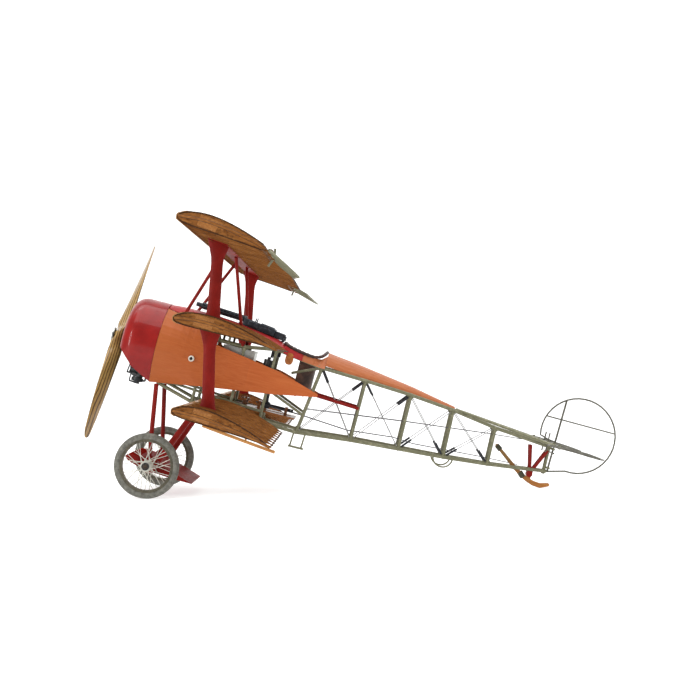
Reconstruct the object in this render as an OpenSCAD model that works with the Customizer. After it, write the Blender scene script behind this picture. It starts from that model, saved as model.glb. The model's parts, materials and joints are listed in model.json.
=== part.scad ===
// Uncovered 1:16 display model of a rotary-engined triplane, standing tail down on its wheels and skid.
// Every part is drawn with the frame level: the origin lies on the frame's centre line at the propeller,
// X runs aft, Y to starboard and Z up. stand() then tips the whole aircraft down onto the ground plane z = 0.

/* [Attitude] */
// Angle of the thrust line above the ground (deg)
tail_down = 14.83; // [13:0.01:16]

/* [Propeller] */
// Propeller radius
prop_r = 82.8; // [74:0.1:86]
// Turn of the blades from upright at rest (deg)
prop_turn = 31; // [0:1:180]
// Greatest blade width
blade_w = 13; // [9:0.5:15]

/* [Engine and cowling] */
// Height of the engine's axis above the middle of the frame
thrust_z = 2.6; // [2:0.1:3]
// Outer radius of the cowling
cowl_r = 32; // [31.5:0.5:34]
// Cowling front face, aft of the hub
cowl_front = 4; // [3:0.5:6]
// Cowling rear edge, aft of the hub
cowl_back = 29.5; // [28:0.5:30]
// Height of the cowling's cut-away at its front face, from the engine's axis
cowl_cut_front = -4.5; // [-9:0.5:-3]
// Height of the cowling's cut-away at its rear edge, from the engine's axis
cowl_cut_back = -25; // [-27:0.5:-23]
// Radius over the cylinder heads
engine_r = 29.4; // [28:0.2:30]
// Plane of the cylinders, aft of the hub
engine_x = 18; // [16:0.5:18.5]

/* [Fuselage frame] */
// Half the width of the frame from nose to cockpit
frame_half = 20; // [18:0.5:21]
// Radius of the longeron tubes
longeron_r = 1.25; // [1:0.05:1.4]
// Radius of the upright and cross tubes
upright_r = 1.1; // [0.8:0.05:1.2]

/* [Wings] */
// Chord of all three wings
chord = 62.5; // [60:0.5:65]
// Semi-span of the upper wing
upper_semi = 224.7; // [215:0.1:235]
// Semi-span of the middle wing
middle_semi = 194.7; // [188:0.1:200]
// Semi-span of the lower wing
lower_semi = 178.9; // [172:0.1:184]
// Incidence of the upper wing (deg)
upper_tilt = 8; // [6:0.1:9]
// Incidence of the middle wing (deg)
middle_tilt = 3.3; // [2:0.1:4]
// Incidence of the lower wing (deg)
lower_tilt = 6.2; // [5:0.1:7]
// Thickness of one rib
rib_t = 1.1; // [0.8:0.1:1.6]
// Distance of the interplane struts from the centre line
strut_y = 140; // [134:1:146]
// Droop of the port aileron at rest, below the wing's chord line (deg)
aileron_droop_port = 20; // [0:1:25]
// Droop of the starboard aileron at rest (deg)
aileron_droop_starboard = 8; // [0:1:25]

/* [Undercarriage] */
// Wheel radius over the tyre
wheel_r = 22.4; // [21:0.1:23]
// Wheel axle, aft of the hub
axle_x = 45.3; // [44:0.1:47]
// Wheel axle, below the thrust line
axle_drop = 77.1; // [76:0.1:79]
// Distance of each wheel's centre plane from the centre line
wheel_y = 43; // [42:0.5:46]

/* [Hidden] */
$fn = 48;

// ---- Shared geometry ----

// Height of the frame's origin above the ground, with the tyres just touching it
hub_z = wheel_r + axle_x * sin(tail_down) + axle_drop * cos(tail_down);
// Foremost and rearmost points along the ground, which centre the model on the origin
blank_x = -1.8;
blank_t = 8.2;
tip_x = -0.1;
nose_x = (tip_x - 1) * cos(tail_down) + (thrust_z - prop_r * cos(prop_turn)) * sin(tail_down);
rudder_c = [334.2, 14.2];
rudder_r = 26.8;
stern_x = rudder_c[0] * cos(tail_down) + rudder_c[1] * sin(tail_down) + rudder_r;
hub_x = -(nose_x + stern_x) / 2;

// Places what lies on the engine's axis
module on_thrust_line() stand() translate([0, 0, thrust_z]) children();
module stand() translate([hub_x, 0, hub_z]) rotate([0, tail_down, 0]) children();

function unit(v) = v / norm(v);
function mix(a, b, t) = a + (b - a) * t;
function smooth(t) = let (c = min(1, max(0, t))) c * c * (3 - 2 * c);
// Value at x of a curve given as [x, value] points, straight between them
function at(curve, x, i = 0) =
    i >= len(curve) - 2 || x <= curve[i + 1][0]
    ? mix(curve[i][1], curve[i + 1][1], (x - curve[i][0]) / (curve[i + 1][0] - curve[i][0]))
    : at(curve, x, i + 1);
function flip(p, side) = [p[0], side * p[1], p[2]];

// Straight round bar from p to q
module rod(p, q, r) {
    d = q - p;
    translate(p)
        rotate([0, acos(d[2] / norm(d)), atan2(d[1], d[0])])
            cylinder(h = norm(d), r = r);
}

// Solid through a row of closed rings, each running anticlockwise about the direction of travel
module loft(rings) {
    n = len(rings);
    m = len(rings[0]);
    side = [for (i = [0 : n - 2]) for (j = [0 : m - 1]) for (half = [0, 1])
        half == 0
        ? [i * m + j, (i + 1) * m + (j + 1) % m, i * m + (j + 1) % m]
        : [i * m + j, (i + 1) * m + j, (i + 1) * m + (j + 1) % m]];
    first = [[for (j = [0 : m - 1]) j]];
    last = [[for (j = [m - 1 : -1 : 0]) (n - 1) * m + j]];
    polyhedron([for (r = rings) for (p = r) p], concat(first, side, last));
}

// Bent round bar along the points of a path
module bent_rod(path, r, sides = 8, up = [0, 0, 1]) {
    n = len(path);
    loft([for (i = [0 : n - 1])
        let (t = unit(path[min(i + 1, n - 1)] - path[max(i - 1, 0)]), s = unit(cross(up, t)), u = cross(t, s))
        [for (k = [0 : sides - 1]) path[i] + r * (cos(360 * k / sides) * s + sin(360 * k / sides) * u)]]);
}

// Both sides of the aircraft
module both_sides() {
    children();
    mirror([0, 1, 0]) children();
}

// ---- Fuselage frame ----

// Frame stations: upper joint x and z, lower joint x and z
stations = [
    [36, 18, 36, -21.5], [62, 18, 62, -28.7], [88.5, 17.8, 88.5, -29.7], [111, 21.6, 111, -30.4],
    [144.6, 16.8, 137.9, -31.4], [176.8, 15.5, 176.4, -27.7], [210.5, 13.6, 210.7, -25.6],
    [242.4, 10.5, 243.1, -23.6], [274.8, 5.5, 275.3, -20.9], [316.6, 1.8, 317, -15.8]
];
stern = len(stations) - 1;
cockpit_station = 4;
stern_half = 1.6;
joint_r = longeron_r * 1.12;
function half_at(x) = mix(frame_half, stern_half, max(0, (x - 141) / 175.8));
function upper(i) = [stations[i][0], half_at(stations[i][0]), stations[i][1]];
function lower(i) = [stations[i][2], half_at(stations[i][2]), stations[i][3]];

module side_frame() color("#6c6c54") {
    for (i = [0 : stern - 1]) {
        rod(upper(i), upper(i + 1), longeron_r);
        rod(lower(i), lower(i + 1), longeron_r);
    }
    for (i = [0 : stern]) {
        translate(upper(i)) sphere(r = joint_r);
        translate(lower(i)) sphere(r = joint_r);
        if (i < stern) rod(upper(i), lower(i), upright_r);
    }
    // Seat brace, from the second upright down to the middle of the cockpit upright
    rod([62, frame_half, 13], [139.9, frame_half, -18.6], 0.95);
    // Floor rail
    rod([36, frame_half, -18.4], [111, frame_half, -23.2], 0.9);
    // Seats for the middle wing's spar
    for (x = [69.4, 77]) rod([x, frame_half, 18], [x, frame_half, 23], 0.9);
}

module side_frame_port() stand() mirror([0, 1, 0]) side_frame();
module side_frame_starboard() stand() side_frame();

// Line that the rudder turns on, from the foot to the head of its post
rudder_foot = [318.9, 0, -16.4];
rudder_head = [320.4, 0, 37.2];
rudder_lean = atan2(rudder_head[0] - rudder_foot[0], rudder_head[2] - rudder_foot[2]);
rudder_post_r = 0.7;

module cross_tubes() stand() color("#6c6c54") {
    for (i = [0 : stern - 1]) {
        // The cockpit is open above, so its station has no upper tube
        if (i != cockpit_station - 1) rod(flip(upper(i), -1), upper(i), upright_r);
        rod(flip(lower(i), -1), lower(i), upright_r);
    }
    // Stern post, with the eyes that the rudder's post turns in
    rod([316, 0, 3.4], [316.3, 0, -18], 1.3);
    for (t = [0.06, 0.32])
        translate(mix(rudder_foot, rudder_head, t)) rotate([0, rudder_lean, 0]) difference() {
            union() {
                cylinder(h = 1.4, r = 1.4, center = true);
                translate([-2.4, -0.5, -0.7]) cube([1.6, 1, 1.4]);
            }
            cylinder(h = 4, r = rudder_post_r + 0.06, center = true);
        }
    // Short posts that hold the turtledeck up off the frame
    for (i = [5, 6]) {
        x = stations[i][0];
        rod([x, 0, stations[i][1]], [x, 0, at(ridge, x) - 1.4], 0.8);
    }
}

// ---- Nose ----

shaft_r = 2;
module engine_mount() stand() color("#55564f") {
    difference() {
        translate([0, 0, thrust_z]) rotate([0, 90, 0]) {
            // Firewall, with the fixed crankshaft that the whole engine turns on
            translate([0, 0, 31]) cylinder(h = 1.2, r = 27);
            translate([0, 0, 28.6]) cylinder(h = 2.6, r1 = 8, r2 = 11);
            translate([0, 0, 7]) cylinder(h = 24, r = shaft_r);
        }
        translate([40, 0, -34]) cube([20, 80, 24], center = true);
    }
    // Four bearers from the firewall back to the first frame station
    for (sy = [-1, 1]) {
        rod([32, sy * 18, 15.5], [36, sy * frame_half, 18], 1.2);
        rod([32, sy * 16.5, -17], [36, sy * frame_half, -21.5], 1.2);
    }
}

cowl_round = 10;
cowl_wall = 0.9;
shaft_hole = 8.5;
cut_knee = [15.4, -16.7];
module cowl_profile(r, x0, x1, round_r) {
    translate([0, x0])
        difference() {
            square([r, x1 - x0]);
            translate([r - round_r, 0])
                difference() {
                    translate([0, -1]) square([round_r + 1, round_r + 1]);
                    translate([0, round_r]) circle(r = round_r, $fn = 96);
                }
        }
}

module cowling() on_thrust_line() color("#a3141b") difference() {
    rotate([0, 90, 0])
        rotate_extrude($fn = 96)
            difference() {
                cowl_profile(cowl_r, cowl_front, cowl_back, cowl_round);
                cowl_profile(cowl_r - cowl_wall, cowl_front + cowl_wall, cowl_back + 1,
                             cowl_round - cowl_wall);
                square([shaft_hole, cowl_back]);
            }
    // Lower front cut away to a bent line, for the exhaust and cooling air
    rotate([90, 0, 0]) translate([0, 0, -50]) linear_extrude(100)
        polygon([[-10, -60], [-10, cowl_cut_front], [cowl_front - 0.5, cowl_cut_front],
            cut_knee + [-2, 2.4], cut_knee + [-0.5, 0.4], cut_knee + [1.6, -1],
            [cowl_back + 0.5, cowl_cut_back], [60, cowl_cut_back], [60, -60]]);
    // Two cooling holes in the front face
    for (sy = [-1, 1])
        translate([0, sy * 14.5, 8]) rotate([0, 90, 0]) cylinder(h = 8, r = 4.6);
}

// Edges of the triangular side fairings
fairing_top = [[29.7, 30.8], [44, 28], [54, 22.6], [66, 22], [68.6, 14.6], [117, 6.9], [146.5, -1.9]];
fairing_low = [[29.7, -22.2], [65, -16.6], [117, -9.3], [146.5, -3.9]];
fairing_wall = 0.8;
fairing_x = [29.7, 38, 44, 49, 54, 60, 66, 68.6, 80, 95, 117, 132, 146.5];
function fairing_y(x, z) =
    mix(max(sqrt(max(1, cowl_r * cowl_r - pow(z - thrust_z, 2))), z < 0 ? frame_half + 2.2 : 0),
        frame_half + 2.2, smooth((x - 30) / 75));

module side_fairing(side) {
    rows = 9;
    color("#b4602c") loft([for (x = fairing_x)
        let (lo = at(fairing_low, x), hi = at(fairing_top, x),
             outer = [for (k = [0 : rows]) let (z = mix(lo, hi, k / rows))
                 [x, side * fairing_y(x, z), z]],
             inner = [for (k = [rows : -1 : 0]) let (z = mix(lo, hi, k / rows))
                 [x, side * (fairing_y(x, z) - fairing_wall), z]],
             ring = concat(outer, inner))
        side > 0 ? ring : [for (k = [len(ring) - 1 : -1 : 0]) ring[k]]]);
}

// Fastener in the middle of each fairing
module fairing_stud(side) color("#b9b9b4")
    translate([55.4, side * (fairing_y(55.4, 1) + 0.12), 1])
        rotate([-side * 90, 0, 0]) cylinder(h = 0.7, r = 1.6);

module side_fairing_port() stand() {
    side_fairing(-1);
    fairing_stud(-1);
}

module side_fairing_starboard() stand() {
    side_fairing(1);
    fairing_stud(1);
}

module side_stringers() stand() both_sides() color("#6e2322")
    rod([145.6, frame_half + 1, -3], [176.6, half_at(176.6) + 1.4, -4.7], 1.1);

// ---- Decking ----

// Crown and lower edge of the front deck, and its half width
deck_top = [[30, 34.2], [38.5, 34.9], [60, 34.8], [80, 33.3], [95, 31.2], [108, 29.4], [113, 27.6],
            [116, 26.4]];
deck_low = [[30, 31], [44, 28.6], [54, 23.2], [57, 28.8], [62, 31.2], [74, 32.3], [90, 29.6], [104, 26.2],
            [116, 22.8]];
deck_half = [[30, 14.4], [44, 17.5], [54, 24], [57, 20.6], [104, 20.8], [116, 22.1]];
deck_sharp = [[30, 0.75], [60, 0.6], [116, 0.6]];
sheet_t = 0.7;

// Closed ring of an arched sheet: outer edge from starboard to port, inner edge back
function arch_ring(x, half, low, top, sharp, t, foot = 0.02, cells = 12) =
    let (f = [for (k = [0 : cells]) cos(180 * k / cells)])
    concat(
        [for (v = f) [x, half * v, low + (top - low) * pow(max(0, 1 - v * v), sharp)]],
        [for (k = [cells : -1 : 0]) let (v = f[k])
            [x, (half - t) * v, low - foot + max(0, top - low - t) * pow(max(0, 1 - v * v), sharp)]]);

module front_deck() stand() color("#b32228") {
    loft([for (x = [30, 38.5, 44, 49, 54, 57, 59.5, 62, 68, 74, 82, 90, 97, 104, 110, 116])
        arch_ring(x, at(deck_half, x), at(deck_low, x), at(deck_top, x), at(deck_sharp, x), sheet_t)]);
    // Side strips of the coaming, beside the cockpit
    both_sides()
        loft([for (x = [116.1, 120, 124, 128, 130])
            let (lo = at(coaming_low, x), hi = at(rim_z, x), y0 = coaming_y, y1 = y0 - 2.4)
            [[x, y0, lo], [x, y1, hi], [x, y1 - sheet_t, hi], [x, y0 - sheet_t, lo]]]);
}

// Height of the cockpit rim, and the lower edge of the coaming below it
rim_z = [[116, 25.9], [120, 24.4], [138, 22], [143, 23.4], [146.7, 27]];
coaming_low = [[116, 20.4], [120, 19.4], [131, 17.9], [144, 16.4], [150, 16.2]];
coaming_y = frame_half + 2.1;
ridge = [[146.7, 28.3], [170.3, 25.4], [211, 19.3], [243.7, 12.9]];
deck_end = 243.7;

module turtledeck() stand() color("#c3784f") {
    // Arched rear sheet: it leaves the longerons behind the cockpit and runs out to a point
    loft([for (x = [146.8, 154, 162, 170.3, 184, 198, 211, 222, 233, deck_end])
        let (t = (x - 146.8) / (deck_end - 146.8))
        arch_ring(x, mix(frame_half + 0.6, 3.4, t), mix(18.6, 10.6, t), at(ridge, x), 0.55, sheet_t, 0)]);
    both_sides()
        loft([for (x = [130.1, 134, 138, 143, 146.7])
            let (lo = at(coaming_low, x), hi = at(rim_z, x) - 1.5 * smooth((x - 138) / 8),
                 y0 = coaming_y, y1 = mix(y0 - 2.4, y0 - 9, smooth((x - 138) / 8)))
            [[x, y0, lo], [x, y1, hi], [x, y1 - sheet_t, hi], [x, y0 - sheet_t, lo]]]);
}

// Padded rim: down each side of the cockpit and up over the front of the turtledeck
module cockpit_rim() stand() color("#3a2a22")
    both_sides()
        bent_rod([[115.2, 0, 27.6], [115.4, 8, 27.5], [115.8, 14.5, 27], [118.4, 18.2, 25.9],
                  [124, 19.6, 24.6], [131, 19.8, 23.4], [137.5, 19.4, 22.9], [142, 16.4, 24.2],
                  [144.6, 10, 26.6], [145.4, 4, 27.9], [145.6, 0, 28.2]], 1.1, 10);

// ---- Guns and cockpit ----

gun_y = 7.5;
module gun(side) stand() translate([0, side * gun_y, 0]) color("#3c434a") {
    // Cooling jacket with its muzzle, tilted slightly nose up
    translate([47, 0, 39.2]) rotate([0, 93.4, 0]) {
        cylinder(h = 4.5, r = 1.5);
        translate([0, 0, 4.4]) cylinder(h = 32, r = 2.3);
    }
    // Receiver with its feed block and rear grips
    translate([82.5, 0, 35.2]) rotate([0, 7, 0]) {
        translate([0, -2.6, -2.8]) cube([23.5, 5.2, 5.6]);
        translate([4, -3.8, -1.6]) cube([7, 7.6, 3.6]);
        translate([23, -1.5, -3]) cube([8, 3, 5]);
        translate([30.5, 0, -5]) cylinder(h = 8, r = 1.2);
        translate([8, 0, 2.6]) cylinder(h = 2.4, r = 0.7);
    }
    // Mounting posts down to the deck
    translate([60, -0.9, 34.2]) cube([3, 1.8, 2.8]);
    translate([86, -0.9, 30.6]) rotate([0, 7, 0]) cube([4, 1.8, 2.4]);
}

module gun_port() gun(-1);
module gun_starboard() gun(1);

module ammo_box() stand() color("#bfc3bb") difference() {
    translate([73.5, -14.5, 0.6]) cube([23, 29, 15.6]);
    translate([76, -12, 4]) cube([18, 24, 20]);
}

tank_r = 14.4;
module fuel_tank() stand() color("#a8a69a") {
    translate([41.5, 0, 2]) rotate([0, 90, 0]) cylinder(h = 26, r = tank_r);
    translate([47, 0, tank_r]) cylinder(h = 5, r = 2.4);
    // Hangers from the upper longerons
    for (x = [46, 57]) for (sy = [-1, 1])
        rod([x, sy * (tank_r - 3), 9], [x, sy * (frame_half - 0.6), 17.2], 0.8);
}

seat_x = 128.2;
module seat() stand() color("#4a3226") {
    difference() {
        translate([seat_x, 0, -5]) cylinder(h = 23, r = 12.4);
        translate([seat_x, 0, -3.2]) cylinder(h = 40, r = 11);
        translate([seat_x - 17, -20, -0.4]) cube([17, 40, 30]);
        translate([seat_x, 0, 18]) rotate([0, 34, 0]) translate([-40, -20, -1]) cube([40, 40, 30]);
    }
    // Frame under the seat
    for (x = [122, 131]) rod([x, -18.9, -6.4], [x, 18.9, -6.4], 0.9);
    for (sy = [-1, 1]) rod([118, sy * 10, -5.6], [136.8, sy * 10, -5.6], 0.8);
}

module instruments() stand() color("#2f3030") {
    // Panel under the front deck, with two dials and a switch box
    translate([107.5, -15, 15]) cube([1.6, 30, 9.4]);
    for (y = [-9, 9]) translate([109.1, y, 19.5]) rotate([0, 90, 0]) cylinder(h = 2.6, r = 3.6);
    translate([109.1, -3, 16.5]) cube([4.5, 6, 6]);
    // Compass under the panel on the port side
    translate([107, -15, 8]) cylinder(h = 5.2, r = 3.2);
    translate([107, -15, 13.1]) cylinder(h = 2, r = 1.2);
}

floor_top = -22.2;
module floorboard() stand() color("#8a5a33") {
    difference() {
        translate([90.6, -19.4, floor_top - 1.2]) cube([44, 38.8, 1.2]);
        translate([105, -5, floor_top - 3]) cube([26, 10, 6]);
    }
    // Pin that the rudder bar turns on
    translate([bar_x, 0, floor_top - 0.4]) cylinder(h = 6, r = 1);
    // Bearing blocks for the torque tube, across the opening under the stick
    for (x = tube_bearings)
        difference() {
            translate([x - 1, -6.5, floor_top - 0.6]) cube([2, 13, 5.9]);
            translate([x - 2, 0, tube_z]) rotate([0, 90, 0]) cylinder(h = 4, r = tube_r + 0.05);
        }
}

// ---- Wings ----

// Places a wing's own frame: leading edge at the origin, chord along X, tilted by its incidence
module wing_at(le, tilt) translate([le[0], 0, le[1]]) rotate([0, tilt, 0]) children();
upper_le = [49.7, 80.2];
middle_le = [57.2, 25.6];
lower_le = [67.4, -27.2];

// Wing section: half thickness and camber at a share f of the chord
thickness = 0.12;
blunt = 0.1;
camber = 0.05;
function half_thick(f) = 5 * thickness * ((0.2969 + blunt) * sqrt(f) - (0.126 + blunt) * f - 0.3516 * f * f
    + 0.2843 * pow(f, 3) - 0.1036 * pow(f, 4));
function mean_line(f) = f < 0.4
    ? camber / 0.16 * (0.8 * f - f * f)
    : camber / 0.36 * (0.2 + 0.8 * f - f * f);
function skin(f, side, grow = 0) = [f * chord - (f < 0.02 ? grow : 0),
    (mean_line(f) + side * half_thick(f)) * chord + side * grow];
cells = 16;
// Section outline from its nose to the share cut, closed by the rear edge
function section(cut, grow = 0) = concat(
    [for (k = [cells : -1 : 0]) skin(cut * pow(k / cells, 1.8), 1, grow)],
    [for (k = [1 : cells]) skin(cut * pow(k / cells, 1.8), -1, grow)]);

spar_f = 0.28;
spar_w = 11;
spar_h = 6.2;
spar_block = 2;
slot_gap = 0.06;
spar_x = spar_f * chord;
spar_z = mean_line(spar_f) * chord - 0.2;
aileron_hinge_f = 0.845;
aileron_in = 122;
// Where the fixed ribs stop ahead of an aileron
aileron_cut_f = 0.8;
aileron_tube_r = 0.95;
aileron_eyes = [133, 170, 204.8];
aileron_hinge = [aileron_hinge_f * chord + 1.4, 0, mean_line(aileron_hinge_f) * chord];
rib_holes = [[0.1, 1.5], [0.45, 1.9], [0.56, 1.7], [0.66, 1.35], [0.75, 0.9]];

// One rib, stopping at the share cut of the chord, with a notch below the spar where a rail runs
module rib(y, cut, notched = false) translate([0, y + rib_t / 2, 0]) rotate([90, 0, 0])
    linear_extrude(rib_t)
        difference() {
            polygon(section(cut));
            if (notched)
                translate([spar_x - rail_w / 2 - slot_gap, spar_z - spar_h / 2 - rail_t - 0.5])
                    square([rail_w + 2 * slot_gap, rail_t + 0.6]);
            translate([spar_x - spar_w / 2 - slot_gap, spar_z - spar_h / 2 - slot_gap])
                square([spar_w + 2 * slot_gap, spar_h + 2 * slot_gap]);
            for (h = rib_holes)
                translate([h[0] * chord, mean_line(h[0]) * chord]) circle(r = h[1], $fn = 24);
        }

// Rib stations on one side of a wing, from the innermost to the tip rib
tip_w = 11;
function rib_ys(first, semi, count) = [for (k = [0 : count - 1]) mix(first, semi - tip_w, k / (count - 1))];
upper_ribs = rib_ys(0, upper_semi, 13);
middle_ribs = rib_ys(frame_half + 9.4, middle_semi, 10);
lower_ribs = rib_ys(frame_half + 4, lower_semi, 9);

// Box spar from tip rib to tip rib: two beams with thin webs above and below
module box_spar(semi) {
    reach = 2 * (semi - tip_w) + rib_t;
    flange = 2.2;
    web = 0.7;
    translate([spar_x, 0, spar_z]) {
        for (s = [-1, 1])
            translate([s * (spar_w - flange) / 2, 0, 0]) cube([flange, reach, spar_h], center = true);
        for (s = [-1, 1])
            translate([0, 0, s * (spar_h - web) / 2]) cube([spar_w - flange, reach, web], center = true);
        // Blocks that close the ends of the box
        for (s = [-1, 1])
            translate([0, s * (reach - spar_block) / 2, 0])
                cube([spar_w - flange, spar_block, spar_h], center = true);
    }
}

// Nose sheet: bent ply over the leading edge, with a saw-toothed rear edge above
nose_t = 0.45;
nose_f_top = 0.15;
nose_f_low = 0.045;
function nose_edge(grow) = concat(
    [for (k = [9 : -1 : 0]) skin(nose_f_top * pow(k / 9, 1.8), 1, grow)],
    [for (k = [1 : 4]) skin(nose_f_low * k / 4, -1, grow)]);
module nose_sheet(y0, y1, teeth) {
    pitch = (y1 - y0) / teeth;
    tooth = 5.4;
    outer = nose_edge(nose_t + 0.04);
    inner = nose_edge(0.04);
    back = nose_f_top * chord;
    intersection() {
        translate([0, y1, 0]) rotate([90, 0, 0]) linear_extrude(y1 - y0)
            polygon(concat(outer, [for (k = [len(inner) - 1 : -1 : 0]) inner[k]]));
        translate([0, 0, -9]) linear_extrude(20)
            polygon(concat([[-2, y0], [back - tooth, y0]],
                [for (k = [0 : teeth - 1]) for (j = [0, 1])
                    j == 0 ? [back, y0 + pitch * (k + 0.5)] : [back - tooth, y0 + pitch * (k + 1)]],
                [[-2, y1]]));
    }
}

wood = "#8c5a26";
module upper_wing_spar() stand() color(wood) wing_at(upper_le, upper_tilt) box_spar(upper_semi);
module middle_wing_spar() stand() color(wood) wing_at(middle_le, middle_tilt) box_spar(middle_semi);
module lower_wing_spar() stand() color(wood) difference() {
    wing_at(lower_le, lower_tilt) box_spar(lower_semi);
    // Notches where the spar sits over the lower longerons, and holes for the uprights
    for (s = [-1, 1]) {
        translate([lower_le[0] + 16, s * frame_half, lower(1)[2] - 3.4]) cube([30, 3, 9], center = true);
        translate([stations[2][0], s * frame_half, -40]) cylinder(h = 30, r = upright_r + 0.05);
    }
    // Groove over the cross tube
    translate([stations[2][2], 0, stations[2][3]]) cube([2.6, 2 * frame_half, 2.6], center = true);
}

module upper_wing_ribs() stand() color(wood) wing_at(upper_le, upper_tilt) {
    for (y = upper_ribs) for (s = y > 0 ? [-1, 1] : [1])
        rib(s * y, y > aileron_in ? aileron_cut_f : 0.985, y < strut_y + 7);
    // Rear spar behind the short ribs, with the eyes that the aileron's tube turns in
    span = upper_semi - tip_w - aileron_in;
    both_sides() {
        translate([aileron_cut_f * chord - 0.4, aileron_in, mean_line(aileron_cut_f) * chord - 1.4])
            cube([1.2, span, 2.8]);
        for (y = aileron_eyes) translate(aileron_hinge + [0, y, 0]) rotate([90, 0, 0]) difference() {
            union() {
                cylinder(h = 1.4, r = 1.7, center = true);
                translate([-4.2, -0.5, -0.7]) cube([3, 1, 1.4]);
            }
            cylinder(h = 4, r = aileron_tube_r + 0.06, center = true);
        }
    }
}
module middle_wing_ribs() stand() color(wood) wing_at(middle_le, middle_tilt)
    for (y = middle_ribs) for (s = [-1, 1]) rib(s * y, 0.985);
module lower_wing_ribs() stand() color(wood) wing_at(lower_le, lower_tilt)
    for (y = lower_ribs) for (s = [-1, 1]) rib(s * y, 0.985);

ply = "#9a6a34";
module upper_wing_nose() stand() color(ply) wing_at(upper_le, upper_tilt)
    nose_sheet(-upper_semi + tip_w - rib_t, upper_semi - tip_w + rib_t, 24);
module wing_nose_pair(ribs, semi) both_sides()
    nose_sheet(ribs[0] - rib_t, semi - tip_w + rib_t, len(ribs) - 1);
module middle_wing_nose() stand() color(ply) wing_at(middle_le, middle_tilt)
    wing_nose_pair(middle_ribs, middle_semi);
module lower_wing_nose() stand() color(ply) wing_at(lower_le, lower_tilt)
    wing_nose_pair(lower_ribs, lower_semi);

// Tip bow: a bent strip from the nose round to the end of the chord, longest towards the rear
bow_r = 0.9;
function bow(semi, reach) = [for (k = [0 : 14])
    let (f = (1 - cos(180 * k / 14)) / 2, x = 1.2 + f * (reach * chord - 1.2))
    [x, semi - tip_w + rib_t / 2 + 0.06 + (tip_w - rib_t / 2 - bow_r - 0.06)
        * pow(sin(180 * pow(min(0.999, f * 0.93 + 0.03), 1.25)), 0.62), mean_line(x / chord) * chord]];

module wing_tip_bows() stand() color(wood) {
    wing_at(upper_le, upper_tilt) both_sides() bent_rod(bow(upper_semi, 0.82), bow_r);
    wing_at(middle_le, middle_tilt) both_sides() bent_rod(bow(middle_semi, 0.98), bow_r);
    wing_at(lower_le, lower_tilt) both_sides() bent_rod(bow(lower_semi, 0.98), bow_r);
}

// Trailing edge wire: it hangs in shallow scallops between the rib ends
wire_r = 0.45;
function scallops(ys) = [for (k = [0 : len(ys) - 2]) for (j = [0 : 3])
    [chord * 0.985 + wire_r - 0.8 * sin(45 * j), mix(ys[k], ys[k + 1], j / 4), 0]];
module edge_wire(ys)
    bent_rod(concat(scallops(ys), [[chord * 0.985 + wire_r, ys[len(ys) - 1], 0]]), wire_r, 6);

module trailing_edge_wires() stand() color("#7d7c72") {
    inner = [for (y = upper_ribs) if (y < aileron_in) y];
    whole = concat([for (k = [len(inner) - 1 : -1 : 1]) -inner[k]], inner);
    wing_at(upper_le, upper_tilt) edge_wire(whole);
    wing_at(middle_le, middle_tilt) both_sides() edge_wire(middle_ribs);
    wing_at(lower_le, lower_tilt) both_sides() edge_wire(lower_ribs);
}

// ---- Struts ----

// Flat oval ring around a point, long along the aircraft
function oval(c, length, width, points = 20) = [for (k = [0 : points - 1])
    c + [length / 2 * cos(-360 * k / points), width / 2 * sin(-360 * k / points), 0]];

// Point on a wing's spar in the aircraft's frame, above (+1) or below (-1) the box
function spar_face(le, tilt, side, gap = 0.03) =
    let (z = spar_z + side * (spar_h / 2 + gap))
    [le[0] + spar_x * cos(tilt) + z * sin(tilt), le[1] - spar_x * sin(tilt) + z * cos(tilt)];

// Rail under the upper spar that its struts meet
rail_w = 13;
rail_t = 1;

// Plank strut whose ends spread out against the two spars it joins
module plank(y, top, bottom, top_tilt, bottom_tilt) {
    width = 2.6;
    shape = [[0, 14.2, top_tilt], [0.05, 12.4, top_tilt], [0.13, 9.8, 0], [0.2, 8, 0], [0.28, 7.4, 0],
             [0.84, 7.8, 0], [0.93, 9, bottom_tilt], [1, 11, bottom_tilt]];
    loft([for (s = shape)
        let (c = mix([top[0], y, top[1]], [bottom[0], y, bottom[1]], s[0]))
        [for (p = oval([0, 0, 0], s[1], width)) c + [p[0], p[1], -p[0] * tan(s[2])]]]);
}

module interplane_strut(side) stand() color("#8e1f1c") {
    upper_foot = spar_face(upper_le, upper_tilt, -1, rail_t + 0.06);
    middle_head = spar_face(middle_le, middle_tilt, 1);
    middle_foot = spar_face(middle_le, middle_tilt, -1);
    lower_head = spar_face(lower_le, lower_tilt, 1);
    plank(side * strut_y, upper_foot, middle_head, upper_tilt, middle_tilt);
    plank(side * strut_y, middle_foot, lower_head, middle_tilt, lower_tilt);
}

module interplane_strut_port() interplane_strut(-1);
module interplane_strut_starboard() interplane_strut(1);

// Struts that carry the upper wing: a pair each side, splaying out to the two beams of its spar
cabane_y = 50;
cabane_r = 1.15;
cabane_top = spar_face(upper_le, upper_tilt, -1);
cabane_foot = [38.5, frame_half, 18];
cabane_head = [cabane_top[0] - 5.6, cabane_y, cabane_top[1] - 0.4];
module cabane_struts() stand() color("#8e1f1c") both_sides() {
    rear_head = [cabane_top[0] + 3.2, cabane_y - 1, cabane_top[1] - 1.6];
    rod(cabane_foot, cabane_head, cabane_r);
    rod([87.2, frame_half, 17.8], rear_head, cabane_r);
    // Rail under the spar, from the centre out to the interplane struts
    translate([cabane_top[0], 0, cabane_top[1]]) rotate([0, upper_tilt, 0])
        translate([-rail_w / 2, 0, -rail_t]) cube([rail_w, strut_y + 6, rail_t]);
}

// ---- Undercarriage ----

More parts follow.
